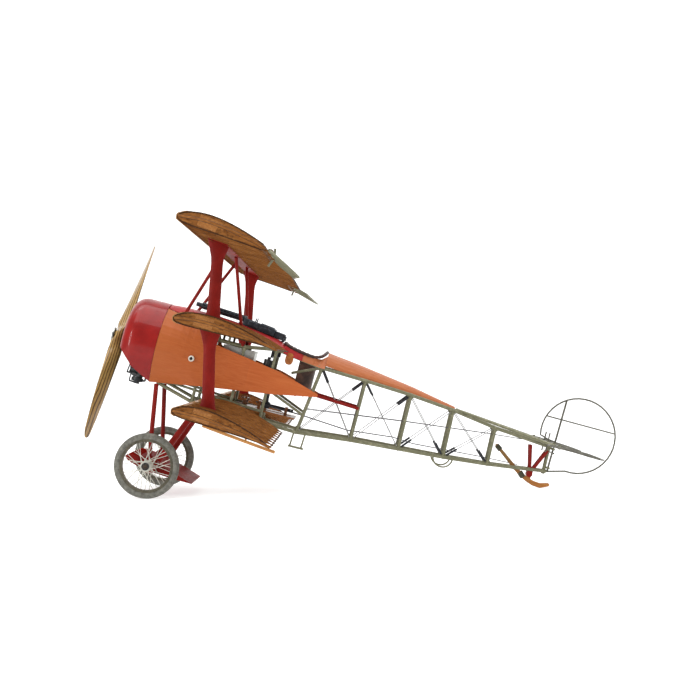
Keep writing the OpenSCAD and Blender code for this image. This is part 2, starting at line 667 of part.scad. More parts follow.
gear_foot_y = 32;
apex = [axle_x + 2, gear_foot_y, -axle_drop];
module gear_struts() color("#8e1f1c") {
    rod([35, frame_half + 0.6, -22.5], apex + [-3, 0, 4], 1.6);
    rod([67.4, frame_half + 0.6, -30.8], apex + [3.4, 0, 4], 2.1);
    // Plate at the foot of the V, with a slot that the axle is lashed into
    difference() {
        translate(apex + [-2, 0, 0]) rotate([90, 0, 0]) cylinder(h = 2.4, r = 6.2, center = true);
        translate([axle_x, gear_foot_y, -axle_drop]) rotate([90, 0, 0])
            cylinder(h = 4, r = axle_r + 0.03, center = true);
    }
}

module gear_struts_port() stand() mirror([0, 1, 0]) gear_struts();
module gear_struts_starboard() stand() gear_struts();

// Small wing that fairs the axle in
axle_wing_le = [27.4, -75.4];
axle_wing_chord = 50;
axle_wing_tilt = 9.2;
axle_wing_half = 28.6;
axle_wing_thick = 0.95;
function axle_foil(f, side) = [f, side * axle_wing_thick * half_thick(f)] * axle_wing_chord;

module axle_wing() stand() color("#8e1f1c") difference() {
    translate([axle_wing_le[0], axle_wing_half, axle_wing_le[1]])
        rotate([0, axle_wing_tilt, 0]) rotate([90, 0, 0]) linear_extrude(2 * axle_wing_half)
            polygon(concat([for (k = [12 : -1 : 0]) axle_foil(pow(k / 12, 1.6), 1)],
                           [for (k = [1 : 12]) axle_foil(pow(k / 12, 1.6), -1)]));
    translate([axle_x, 0, -axle_drop]) rotate([90, 0, 0]) cylinder(h = 100, r = axle_r + 0.03, center = true);
}

axle_r = 1.7;
module axle() stand() color("#3b3b38") translate([axle_x, 0, -axle_drop]) {
    rotate([90, 0, 0]) cylinder(h = 2 * wheel_y + 15, r = axle_r, center = true);
    // Collars that keep the wheels on
    for (s = [-1, 1]) {
        translate([0, s * (wheel_y + 6), 0]) rotate([90, 0, 0]) cylinder(h = 1.6, r = 2.6, center = true);
        translate([0, s * (wheel_y - 5.9), 0]) rotate([90, 0, 0]) cylinder(h = 0.6, r = 2.6, center = true);
    }
}

// Lashings that hold the axle in the strut plates
module shock_cords() stand() color("#c9bfa6") both_sides()
    for (y = [gear_foot_y - 2.1, gear_foot_y + 2.1])
        translate([axle_x, y, -axle_drop]) rotate([90, 0, 0])
            rotate_extrude($fn = 64) translate([2.6, 0]) circle(r = 0.85, $fn = 24);

module tyre(side) stand() color("#85857a")
    translate([axle_x, side * wheel_y, -axle_drop]) rotate([90, 0, 0])
        rotate_extrude($fn = 96) translate([wheel_r - 2.5, 0]) circle(r = 2.5, $fn = 32);

rim_r = wheel_r - 4.3;
spoke_count = 18;
module wheel(side) stand() color("#9b9b94")
    translate([axle_x, side * wheel_y, -axle_drop]) rotate([90, 0, 0]) {
        // Rim with a hollow that the tyre sits in
        rotate_extrude($fn = 96)
            difference() {
                translate([rim_r - 1.6, -2]) square([3.1, 4]);
                translate([wheel_r - 2.5, 0]) circle(r = 2.53, $fn = 32);
            }
        // Hub
        difference() {
            union() {
                cylinder(h = 10, r = 2.5, center = true);
                for (z = [-4.2, 4.2]) translate([0, 0, z]) cylinder(h = 1, r = 3.6, center = true);
            }
            cylinder(h = 12, r = axle_r + 0.05, center = true);
        }
        // Spokes from both hub flanges to the rim
        for (k = [0 : spoke_count - 1]) for (s = [-1, 1]) {
            a = 360 * (k + (s > 0 ? 0 : 0.5)) / spoke_count;
            lead = (k % 2 == 0 ? 1 : -1) * 62;
            rod([3 * cos(a + lead), 3 * sin(a + lead), s * 4.2],
                [(rim_r - 1.2) * cos(a), (rim_r - 1.2) * sin(a), s * 0.9], 0.22);
        }
    }

module tyre_port() tyre(-1);
module tyre_starboard() tyre(1);
module wheel_port() wheel(-1);
module wheel_starboard() wheel(1);

// ---- Wing skids, wires and small fittings ----

// Underside of the lower wing's ribs, where the skid's posts meet it
function skid_top(x) = lower_le[1] - (x - lower_le[0]) * tan(lower_tilt)
    + (mean_line((x - lower_le[0]) / chord) - half_thick((x - lower_le[0]) / chord)) * chord - 0.15;
module wing_skids() stand() color("#c08a4a") both_sides() {
    bent_rod([[84.5, strut_y, -33.4], [100, strut_y, -35.2], [116, strut_y, -36.9], [131, strut_y, -38.4]], 1);
    rod([90, strut_y, -34.1], [90, strut_y, skid_top(90)], 0.6);
    rod([112, strut_y, -36.5], [112, strut_y, skid_top(112)], 0.6);
}

wire_bays = [for (i = [cockpit_station : stern - 2]) i];
brace_r = 0.28;
wire_gap = 0.6;
sleeve_l = 9;
sleeve_r = 0.75;
// End points of the two crossed wires in a side bay; the second passes just inboard of the first
function brace(i, k) =
    let (y = [0, -wire_gap * k, 0])
    k == 0 ? [upper(i) + y, lower(i + 1) + y] : [lower(i) + y, upper(i + 1) + y];
// Point at a distance d from the first end of a wire
function along(w, d) = w[0] + d * unit(w[1] - w[0]);

module bracing_wires() stand() color("#9a9a9c") {
    both_sides()
        for (i = wire_bays) for (k = [0, 1]) {
            w = brace(i, k);
            rod(along(w, 2.4), along([w[1], w[0]], 2.4), brace_r);
        }
    // Wires across the open bottom of the wings' bay, from the gear to the frame
    for (s = [-1, 1])
        rod([axle_x + 4, s * (gear_foot_y - 2), 7 - axle_drop], [64, -s * (frame_half - 3), -29.6], brace_r);
}

// Sleeves at the upper wire ends in the two front bays, and at the lower ends behind them
module turnbuckles() stand() color("#2c2f33") both_sides()
    for (i = wire_bays) for (k = [0, 1]) {
        w = brace(i, k);
        end = (i < cockpit_station + 2) == (k == 0) ? w : [w[1], w[0]];
        rod(along(end, 2.5), along(end, 2.5 + sleeve_l), sleeve_r);
    }

module foot_step() stand() color("#6c6c54")
    for (x = [136.6, 144.6]) {
        rod([x, -frame_half, -31.2], [x - 0.6, -frame_half - 0.8, -41.6], 0.6);
        if (x < 140) rod([x - 1.8, -frame_half - 0.8, -41.6], [145.8, -frame_half - 0.8, -41.6], 0.75);
    }

module handling_loops() stand() color("#8c8c7a") both_sides()
    translate([243.1, half_at(243.1) + 0.2, -23.6]) rotate([90, 0, 0])
        difference() {
            rotate_extrude($fn = 64) translate([7, 0]) circle(r = 0.55, $fn = 24);
            translate([-20, 0.9, -5]) cube([40, 20, 10]);
        }

// ---- Tail ----

tail_hinge = 313;
elevator_z = 4.7;
elevator_r = 0.8;
hinge_ys = [10, 33, 56];
tail_semi = 61;
tail_r = 1;
module stabiliser_frame() stand() color("#6c6c54") {
    front = [246, 5.6, 11.2];
    tip = [tail_hinge - 4.6, tail_semi, elevator_z + 0.2];
    root = [tail_hinge - 4.6, 3, elevator_z + 0.2];
    both_sides() {
        rod(front, tip, tail_r);
        rod(root, tip, tail_r);
        translate(tip) sphere(r = tail_r * 1.1);
        translate(root) sphere(r = tail_r * 1.1);
        translate(front) sphere(r = tail_r * 1.1);
        rod(front, root, tail_r);
        // Ribs from the front edge back to the rear tube
        for (y = [18, 32, 46]) {
            t = (y - front[1]) / (tip[1] - front[1]);
            rod(mix(front, tip, t), [root[0], y, root[2]], 0.55);
        }
        // Hinge eyes for the elevator's tube
        for (y = hinge_ys)
            translate([tail_hinge, y, elevator_z]) rotate([90, 0, 0])
                difference() {
                    union() {
                        cylinder(h = 1.4, r = 1.6, center = true);
                        translate([-4.4, -0.5, -0.7]) cube([3.6, 1.1, 1.4]);
                    }
                    cylinder(h = 4, r = elevator_r + 0.06, center = true);
                }
    }
    rod(flip(root, -1), root, tail_r);
}

skid_pivot = [306.8, 0, -20.6];
skid_pin_r = 0.6;
module skid_struts() stand() color("#8e1f1c") both_sides() {
    rod([302.6, 3.1, 0], [306.2, 1.9, -16.6], 1.1);
    rod([315.4, 2.9, -1.2], [308.4, 1.9, -16.6], 1.1);
    // Fork plate down to the pin that the skid rocks on
    translate(skid_pivot + [0, 2.1, 0]) rotate([90, 0, 0]) cylinder(h = 1, r = 2.2, center = true);
    translate(skid_pivot + [-2, 1.6, 0]) cube([4, 1, 5]);
    translate(skid_pivot) rotate([-90, 0, 0]) cylinder(h = 3, r = skid_pin_r);
}

skid_half_w = 1.3;
foot_r = 1.7;
foot_x = 316.2;
// Height of the skid's foot that brings it exactly onto the ground
foot_z = (foot_x * sin(tail_down) - hub_z + foot_r) / cos(tail_down);
skid_line = [[279.6, -6.4, 1.1], [286.9, -11.9, 1.2], [296.2, -19, 1.4], [302, -22.6, 1.5],
             [306.8, -25, 1.6], [311.2, -26.4, 1.7], [foot_x, foot_z, foot_r], [321.6, -24.9, 1.2]];
module tail_skid() stand() color("#b9772f") {
    for (i = [0 : len(skid_line) - 2])
        hull() for (p = [skid_line[i], skid_line[i + 1]])
            translate([p[0], 0, p[1]]) rotate([90, 0, 0])
                cylinder(h = 2 * skid_half_w, r = p[2], center = true, $fn = 32);
    // Clamp over the skid, with the eye that the pin passes through
    difference() {
        union() {
            translate(skid_pivot) rotate([90, 0, 0]) cylinder(h = 2 * skid_half_w, r = 1.9, center = true);
            translate(skid_pivot + [-1.6, -skid_half_w, -3.6]) cube([3.2, 2 * skid_half_w, 3.2]);
        }
        translate(skid_pivot) rotate([90, 0, 0]) cylinder(h = 8, r = skid_pin_r + 0.06, center = true);
    }
}

// Rudder: a round tube outline on a straight hinge post
module rudder() stand() color("#85857c") {
    bow = [for (a = [-96 : 9 : 192])
        [rudder_c[0] + rudder_r * cos(a), 0, rudder_c[1] + rudder_r * sin(a)]];
    path = concat([[319.4, 0, -15.6]], bow, [[309.8, 0, 8.2], [313.6, 0, 6.8], [319.3, 0, 6]]);
    bent_rod(path, 0.6, 8, [0, 1, 0]);
    rod(rudder_foot, rudder_head, rudder_post_r);
    rod([309.6, 0, 22.9], [359.4, 0, 22.1], 0.5);
    // Horns that the rudder cables pull
    rod([319.2, -7, -2], [319.2, 7, -2], 0.6);
}

module elevator() stand() color("#85857c") {
    rod([tail_hinge, -tail_semi - 1, elevator_z], [tail_hinge, tail_semi + 1, elevator_z], elevator_r);
    both_sides() {
        edge = [[tail_hinge, 4, elevator_z], [341, 15.6, elevator_z - 1], [342.4, 18, elevator_z - 1],
                [342.6, 40, elevator_z - 1], [341.6, 66, elevator_z - 1], [337, 74.6, elevator_z - 0.8],
                [329, 78, elevator_z - 0.5], [318, 78.4, elevator_z], [307, 77, elevator_z],
                [303.6, 73, elevator_z], [303.4, 66.5, elevator_z], [306, 64.6, elevator_z],
                [tail_hinge, 62, elevator_z]];
        bent_rod(edge, 0.6, 8);
        for (y = [26, 40, 54])
            rod([tail_hinge, y, elevator_z], [342, y, elevator_z - 1], 0.45);
        rod([tail_hinge, 62, elevator_z], [340.8, 66, elevator_z - 1], 0.45);
    }
    // Control horn, standing up and down from the hinge tube
    for (s = [-1, 1]) rod([tail_hinge, s * 8, elevator_z - 7], [tail_hinge, s * 8, elevator_z + 7], 0.5);
}

// ---- Ailerons ----

aileron_out = upper_semi - 2;
aileron_chord_in = 14;
aileron_chord_out = 21.5;
horn_y = 165;
// Aileron's own frame: hinge line at the origin, chord along X, drooped
module aileron_at(droop) wing_at(upper_le, upper_tilt)
    translate(aileron_hinge) rotate([0, droop, 0]) children();
module aileron(side, droop) stand() color(wood) aileron_at(droop) {
    rod([0, side * (aileron_in + 2), 0], [0, side * (aileron_out - 7), 0], aileron_tube_r);
    for (k = [0 : 5]) {
        y = mix(aileron_in + 2, aileron_out - 9, k / 5);
        reach = mix(aileron_chord_in, aileron_chord_out, k / 5) - 0.6;
        translate([0, side * y + 0.45, 0]) rotate([90, 0, 0])
            linear_extrude(0.9) polygon([[0, 1], [reach, 0.35], [reach, -0.35], [0, -1]]);
    }
    mirror([0, side > 0 ? 0 : 1, 0])
        bent_rod([[0, aileron_in + 2, 0], [aileron_chord_in - 2, aileron_in + 2, 0],
                  [aileron_chord_in, aileron_in + 4.5, 0],
                  [mix(aileron_chord_in, aileron_chord_out, 0.5), mix(aileron_in, aileron_out, 0.5), 0],
                  [aileron_chord_out, aileron_out - 9, 0], [aileron_chord_out - 2.6, aileron_out - 3, 0],
                  [aileron_chord_out - 9, aileron_out, 0], [7, aileron_out - 0.6, 0],
                  [1.6, aileron_out - 4.5, 0], [0, aileron_out - 7.4, 0]], 0.6, 8);
    // Control horn, above and below
    rod([0, side * horn_y, 0], [-3.2, side * horn_y, 4.4], 0.7);
    rod([0, side * horn_y, 0], [0.6, side * horn_y, -6.2], 0.7);
}

module aileron_port() aileron(-1, aileron_droop_port);
module aileron_starboard() aileron(1, aileron_droop_starboard);

// ---- Controls ----

tube_z = -18.8;
tube_r = 1.3;
tube_bearings = [107.6, 127];
stick_x = 113;
module torque_tube() stand() color("#55564f") {
    rod([106, 0, tube_z], [stick_x - 2.2, 0, tube_z], tube_r);
    rod([stick_x + 2.2, 0, tube_z], [132, 0, tube_z], tube_r);
    // Fork round the foot of the stick, with its pin
    for (s = [-1, 1]) {
        translate([stick_x, s * 2.3, tube_z]) rotate([90, 0, 0]) cylinder(h = 1, r = 2.4, center = true);
        translate([stick_x + s * 2.8, 0, tube_z]) cube([1.4, 5.6, 2.2], center = true);
    }
    translate([stick_x, 0, tube_z]) rotate([90, 0, 0]) cylinder(h = 5, r = stick_pin_r, center = true);
    // Arms that work the aileron cables
    rod([130, -9, tube_z], [130, 9, tube_z], 0.7);
}

stick_pin_r = 0.6;
grip_z = 9;
module control_stick() stand() color("#2f3030") {
    difference() {
        union() {
            translate([stick_x, 0, tube_z]) rotate([90, 0, 0]) cylinder(h = 3.2, r = 1.7, center = true);
            rod([stick_x - 0.2, 0, tube_z + 1], [stick_x - 4.5, 0, grip_z - 3.4], 0.8);
        }
        translate([stick_x, 0, tube_z]) rotate([90, 0, 0])
            cylinder(h = 6, r = stick_pin_r + 0.06, center = true);
    }
    // Round grip with a bar across it
    translate([stick_x - 5.2, 0, grip_z]) rotate([0, 80, 0])
        rotate_extrude($fn = 48) translate([3.1, 0]) circle(r = 0.7, $fn = 20);
    rod([stick_x - 5.2, -2.6, grip_z], [stick_x - 5.2, 2.6, grip_z], 0.5);
}

bar_x = 97;
module rudder_bar() stand() color("#8a5a33") {
    difference() {
        union() {
            translate([bar_x, 0, floor_top + 0.2]) cylinder(h = 3.6, r = 2);
            translate([bar_x, 0, floor_top + 3.6]) cylinder(h = 1.4, r = 3);
            translate([bar_x - 1.4, -14, floor_top + 3.8]) cube([2.8, 28, 1.2]);
        }
        translate([bar_x, 0, floor_top - 1]) cylinder(h = 8, r = 1.06);
    }
    // Toe loops
    for (s = [-1, 1]) translate([bar_x - 0.8, s * 11.6, floor_top + 4.9]) rotate([90, 0, 0])
        rotate_extrude(angle = 180, $fn = 32) translate([2.2, 0]) circle(r = 0.45, $fn = 16);
}

// ---- Engine ----

// Propeller: one laminated blank, twisted so that each blade screws through the air
pitch = 150;
function blade_width(f) = blade_w * (f < 0.12 ? mix(1.25, 0.8, f / 0.12)
    : f < 0.62 ? mix(0.8, 1, smooth((f - 0.12) / 0.5))
    : mix(1, 0.34, pow((f - 0.62) / 0.38, 2)));
function blade_depth(f) = mix(blank_t, 1.1, pow(min(1, f * 1.05), 0.42));
function blade_ring(s) =
    let (f = abs(s), side = s < 0 ? -1 : 1,
         turn = atan2(pitch, 2 * PI * max(prop_r * f, 12)) * smooth(f / 0.16),
         w = blade_width(f), d = blade_depth(f))
    [for (k = [0 : 17]) let (v = w / 2 * cos(20 * k), h = -d / 2 * sin(20 * k))
        [mix(blank_x, tip_x, f) + h * cos(turn) - v * sin(turn) * side, v * cos(turn) + h * sin(turn) * side, prop_r * s]];
module propeller() on_thrust_line() color("#a67a35") rotate([-prop_turn, 0, 0])
    loft([for (s = [-24 : 24]) blade_ring(s / 24)]);

hub_bolts = 8;
hub_face = blank_x - blank_t / 2;
hub_back = blank_x + blank_t / 2;
crankcase_nose = 5.6;
module propeller_hub() on_thrust_line() color("#8c8f90") {
    // Front plate and its bolts
    translate([hub_face - 0.5, 0, 0]) rotate([0, 90, 0]) cylinder(h = 0.8, r = 6);
    translate([hub_face - 1.2, 0, 0]) rotate([0, 90, 0]) cylinder(h = 0.8, r = 2.2);
    for (k = [0 : hub_bolts - 1])
        rotate([360 * (k + 0.5) / hub_bolts, 0, 0])
            translate([hub_face - 1, 0, 4.3]) rotate([0, 90, 0]) cylinder(h = 0.7, r = 0.7);
    // Rear plate and the boss that bolts to the crankcase
    translate([hub_back - 0.3, 0, 0]) rotate([0, 90, 0]) cylinder(h = 1.2, r = 6.6);
    translate([hub_back, 0, 0]) rotate([0, 90, 0]) cylinder(h = crankcase_nose - hub_back, r = 4.6);
}

cylinder_count = 9;
shaft_gap = 0.05;
crankcase_r = 12;
barrel_foot = 10.7;
module crankcase() on_thrust_line() color("#3a3d40") difference() {
    union() {
        translate([crankcase_nose, 0, 0]) rotate([0, 90, 0]) cylinder(h = engine_x - 11.6, r1 = 5, r2 = 8.5);
        translate([engine_x - 6.2, 0, 0]) rotate([0, 90, 0]) cylinder(h = 12.4, r = crankcase_r);
        translate([engine_x + 6, 0, 0]) rotate([0, 90, 0]) cylinder(h = 2.8, r = 7);
    }
    // Bore that runs on the fixed crankshaft
    translate([crankcase_nose + 0.4, 0, 0]) rotate([0, 90, 0]) cylinder(h = 40, r = shaft_r + shaft_gap);
}

// One cylinder's outline, turned about its own axis: barrel, cooling fins, head and valve cage
fin_pitch = 1.25;
fin_count = 8;
barrel_r = 3.4;
fin_r = 4.7;
cylinder_outline = concat(
    [[0, barrel_foot], [barrel_r, barrel_foot]],
    [for (k = [0 : fin_count - 1]) let (z = engine_r - 15 + k * fin_pitch) for (p = [
        [barrel_r, z], [fin_r, z], [fin_r, z + 0.6], [barrel_r, z + 0.6]]) p],
    [[barrel_r, engine_r - 4.4], [4.2, engine_r - 4.2], [4.2, engine_r - 1.8],
     [2, engine_r - 1.4], [2, engine_r], [0, engine_r]]);

module cylinders() on_thrust_line() color("#4a4e50")
    for (k = [0 : cylinder_count - 1])
        rotate([360 * k / cylinder_count + 180, 0, 0]) translate([engine_x, 0, 0]) {
            rotate_extrude($fn = 40) polygon(cylinder_outline);
            // Pushrod with its rocker, ahead of the barrel
            rod([-5.4, 0, 11], [-5.4, 0, engine_r - 0.7], 0.45);
            rod([-5.4, 0, engine_r - 0.9], [-1.2, 0, engine_r - 0.7], 0.6);
            // Inlet pipe behind it
            rod([5.6, 0, 11], [5.6, 0, engine_r - 2.9], 0.7);
            rod([5.6, 0, engine_r - 3], [2.4, 0, engine_r - 3], 0.7);
        }

side_frame_port();
side_frame_starboard();
cross_tubes();
engine_mount();
cowling();
side_fairing_port();
side_fairing_starboard();
side_stringers();
front_deck();
turtledeck();
cockpit_rim();
gun_port();
gun_starboard();
ammo_box();
fuel_tank();
seat();
instruments();
floorboard();
upper_wing_spar();
upper_wing_ribs();
upper_wing_nose();
middle_wing_spar();
middle_wing_ribs();
middle_wing_nose();
lower_wing_spar();
lower_wing_ribs();
lower_wing_nose();
wing_tip_bows();
trailing_edge_wires();
interplane_strut_port();
interplane_strut_starboard();
cabane_struts();
gear_struts_port();
gear_struts_starboard();
axle_wing();
axle();
shock_cords();
wing_skids();
bracing_wires();
turnbuckles();
foot_step();
handling_loops();
stabiliser_frame();
skid_struts();
propeller();
propeller_hub();
crankcase();
cylinders();
tyre_port();
wheel_port();
tyre_starboard();
wheel_starboard();
aileron_port();
aileron_starboard();
elevator();
rudder();
torque_tube();
control_stick();
rudder_bar();
tail_skid();
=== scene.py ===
import json
import math

import bmesh
import bpy
from mathutils import Matrix, Vector


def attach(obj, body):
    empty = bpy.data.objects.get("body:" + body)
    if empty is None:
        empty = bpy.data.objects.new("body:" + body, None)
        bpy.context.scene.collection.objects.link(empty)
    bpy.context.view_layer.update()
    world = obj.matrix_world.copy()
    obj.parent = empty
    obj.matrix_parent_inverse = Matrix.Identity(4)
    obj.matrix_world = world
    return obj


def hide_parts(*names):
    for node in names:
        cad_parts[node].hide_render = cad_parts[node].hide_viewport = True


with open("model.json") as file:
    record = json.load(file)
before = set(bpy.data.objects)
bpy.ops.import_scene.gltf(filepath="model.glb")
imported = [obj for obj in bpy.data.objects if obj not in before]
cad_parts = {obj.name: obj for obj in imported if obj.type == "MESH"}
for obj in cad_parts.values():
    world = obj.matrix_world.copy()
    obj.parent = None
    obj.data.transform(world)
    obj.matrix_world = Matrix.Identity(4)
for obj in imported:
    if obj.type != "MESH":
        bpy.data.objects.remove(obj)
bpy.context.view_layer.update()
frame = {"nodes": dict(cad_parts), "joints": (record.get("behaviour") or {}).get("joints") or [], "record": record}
MM, MM_PER_M = 0.001, 1000
SIDES = ((-1, "port"), (1, "starboard"))

# ---- Place and direction of the aircraft, which stands tail down ----

spin = next(j for j in frame["joints"] if j["name"] == "engine_spin")
TAIL_DOWN = math.asin(-spin["axis"][2])
AFT = Vector((math.cos(TAIL_DOWN), 0, -math.sin(TAIL_DOWN)))
UP = Vector((math.sin(TAIL_DOWN), 0, math.cos(TAIL_DOWN)))
SIDE = Vector((0, 1, 0))
THRUST_RISE = 2.6
ORIGIN = Vector(spin["pos_m"]) - UP * THRUST_RISE * MM


def at(a, y, u):
    """A point a mm aft, y mm to starboard and u mm up in the aircraft's own directions."""
    return ORIGIN + (AFT * a + SIDE * y + UP * u) * MM


# The CAD part's wheels on their axle, in mm, and its wings' section: a chord in mm and shares of it
AXLE_A, AXLE_U, WHEEL_Y = 45.3, -77.1, 43
WHEEL_R, TYRE_R, RIM_DEPTH = 22.4, 2.5, 6.2
CHORD, THICKNESS, BLUNT = 62.5, 0.12, 0.1
CAMBER, CAMBER_AT = 0.05, 0.4

# ---- Materials ----


def srgb(r, g, b):
    """The colour that a display shows as r, g, b from 0 to 255."""

    def linear(c):
        c /= 255
        return c / 12.92 if c <= 0.04045 else ((c + 0.055) / 1.055) ** 2.4

    return linear(r), linear(g), linear(b), 1.0


class Finish:
    """A procedural material, worked in mm along the aircraft's own directions."""

    def __init__(self, name):
        self.material = bpy.data.materials.new(name)
        self.material.use_nodes = True
        self.tree = self.material.node_tree
        self.shader = self.tree.nodes["Principled BSDF"]
        self.coords = self.tree.nodes.new("ShaderNodeTexCoord").outputs
        origin = (-ORIGIN.dot(AFT) * MM_PER_M, 0, -ORIGIN.dot(UP) * MM_PER_M)
        self.place = self.node("Mapping", {
            "Vector": self.coords["Object"], "Scale": (MM_PER_M,) * 3,
            "Rotation": (0, -TAIL_DOWN, 0), "Location": origin})["Vector"]

    def wire(self, value, socket):
        if isinstance(value, bpy.types.NodeSocket):
            self.tree.links.new(value, socket)
        else:
            socket.default_value = value

    def node(self, kind, inputs, **settings):
        """The outputs of a new node with these inputs and settings."""
        n = self.tree.nodes.new("ShaderNode" + kind)
        for key, setting in settings.items():
            setattr(n, key, setting)
        for key, value in inputs.items():
            self.wire(value, n.inputs[key])
        return n.outputs

    def calc(self, operation, a, b=0.0):
        return self.node("Math", {0: a, 1: b}, operation=operation)[0]

    def add(self, a, b):
        return self.calc("ADD", a, b)

    def less(self, a, b):
        return self.calc("SUBTRACT", a, b)

    def times(self, a, b):
        return self.calc("MULTIPLY", a, b)

    def stretched(self, scale):
        return self.node("Mapping", {"Vector": self.place, "Scale": scale})["Vector"]

    def noise(self, scale, place=None, detail=3.0, rough=0.55, bend=0.0):
        return self.node("TexNoise", {
            "Vector": place or self.place, "Scale": scale, "Detail": detail,
            "Roughness": rough, "Distortion": bend})["Fac"]

    def along(self, i):
        """The place in mm along the aircraft's direction i: aft, starboard or up."""
        return self.node("SeparateXYZ", {0: self.place})[i]

    def facing(self, i):
        """How far the surface faces along world axis i, 0 to 1."""
        return self.calc("ABSOLUTE", self.node("SeparateXYZ", {0: self.coords["Normal"]})[i])

    def fit(self, value, low, high, to_low=0.0, to_high=1.0):
        return self.node("MapRange", {
            "Value": value, "From Min": low, "From Max": high,
            "To Min": to_low, "To Max": to_high}, clamp=True)["Result"]

    def blend(self, share, a, b):
        return self.node("Mix", {0: share, 6: a, 7: b}, data_type="RGBA")[2]

    def ramp(self, value, *stops):
        n = self.tree.nodes.new("ShaderNodeValToRGB")
        band = n.color_ramp.elements
        while len(band) < len(stops):
            band.new(0.5)
        for element, (position, colour) in zip(band, stops):
            element.position, element.color = position, colour
        self.wire(value, n.inputs[0])
        return n.outputs[0]

    def bump(self, height, depth):
        """Raises the surface by up to depth mm."""
        raised = self.node("Bump", {"Height": height, "Distance": depth * MM, "Strength": 1.0})
        self.wire(raised[0], self.shader.inputs["Normal"])

    def done(self, colour, rough=0.5, metal=0.0, coat=0.0, shine=0.3, sheen=0.0):
        for value, name in ((colour, "Base Color"), (rough, "Roughness"), (metal, "Metallic"),
                            (coat, "Coat Weight"), (shine, "Specular IOR Level"),
                            (sheen, "Sheen Weight")):
            self.wire(value, self.shader.inputs[name])
        return self.material


def enamel(name, colour, dark, rough, coat, dusty=False):
    """Brushed-on gloss paint: slight mottling, faint waviness and worn dull patches."""
    f = Finish(name)
    shine = 0.12
    if dusty:
        # Faces that lie level hold the dust, and shine less
        shine = f.fit(f.facing(2), 0.75, 0.95, shine, 0.0)
    tone = f.blend(f.fit(f.noise(0.09, detail=4), 0.35, 0.7), dark, colour)
    f.bump(f.noise(0.35, detail=2), 0.05)
    dull = f.fit(f.noise(0.6, detail=4), 0.3, 0.7, rough * 0.85, rough * 1.3)
    return f.done(tone, dull, coat=coat, shine=shine)


ALONG_GRAIN, SIDEWAYS_GRAIN = (0.05, 1.1, 1.1), (1.1, 0.05, 1.1)


def ply(name, light, mid, dark, grain=ALONG_GRAIN, rough=0.42, coat=0.25, deeper=None):
    """Varnished plywood with its grain along the axis whose grain value is small."""
    f = Finish(name)
    lines = f.noise(0.9, f.stretched(grain), detail=6, rough=0.65, bend=0.4)
    broad = f.noise(0.16, f.stretched(grain), detail=3)
    tone = f.ramp(f.fit(lines, 0.28, 0.72), (0.0, dark), (0.45, mid), (1.0, light))
    tone = f.blend(f.fit(broad, 0.4, 0.7, 0.0, 0.55), tone, mid)
    if deeper:
        # Another colour at one end, which fades out between two places along the aircraft
        colour, full, gone = deeper
        tone = f.blend(f.fit(f.along(0), full, gone, 0.75, 0.0), tone, srgb(*colour))
    f.bump(lines, 0.03)
    return f.done(tone, f.fit(lines, 0.3, 0.7, rough * 1.2, rough * 0.85), coat=coat, shine=0.2)


def laser_cut(f, light, mid, dark):
    """Chordwise grain of thin ply, as height and as colour."""
    lines = f.noise(0.8, f.stretched((0.12, 1, 1.3)), detail=6, rough=0.7, bend=0.3)
    return lines, f.ramp(f.fit(lines, 0.28, 0.72), (0.0, dark), (0.5, mid), (1.0, light))


def cut_wood(name, light, mid, dark, char):
    """Laser-cut ply: amber faces, and burnt edges all round."""
    f = Finish(name)
    lines, tone = laser_cut(f, light, mid, dark)
    soot = f.noise(0.5, detail=4)
    edge = f.fit(f.facing(1), 0.5, 0.8, 1.0, 0.0)
    tone = f.blend(f.times(edge, f.fit(soot, 0.2, 0.8, 0.95, 0.7)), tone, char)
    f.bump(lines, 0.04)
    return f.done(tone, f.fit(soot, 0.3, 0.7, 0.7, 0.5), shine=0.12)


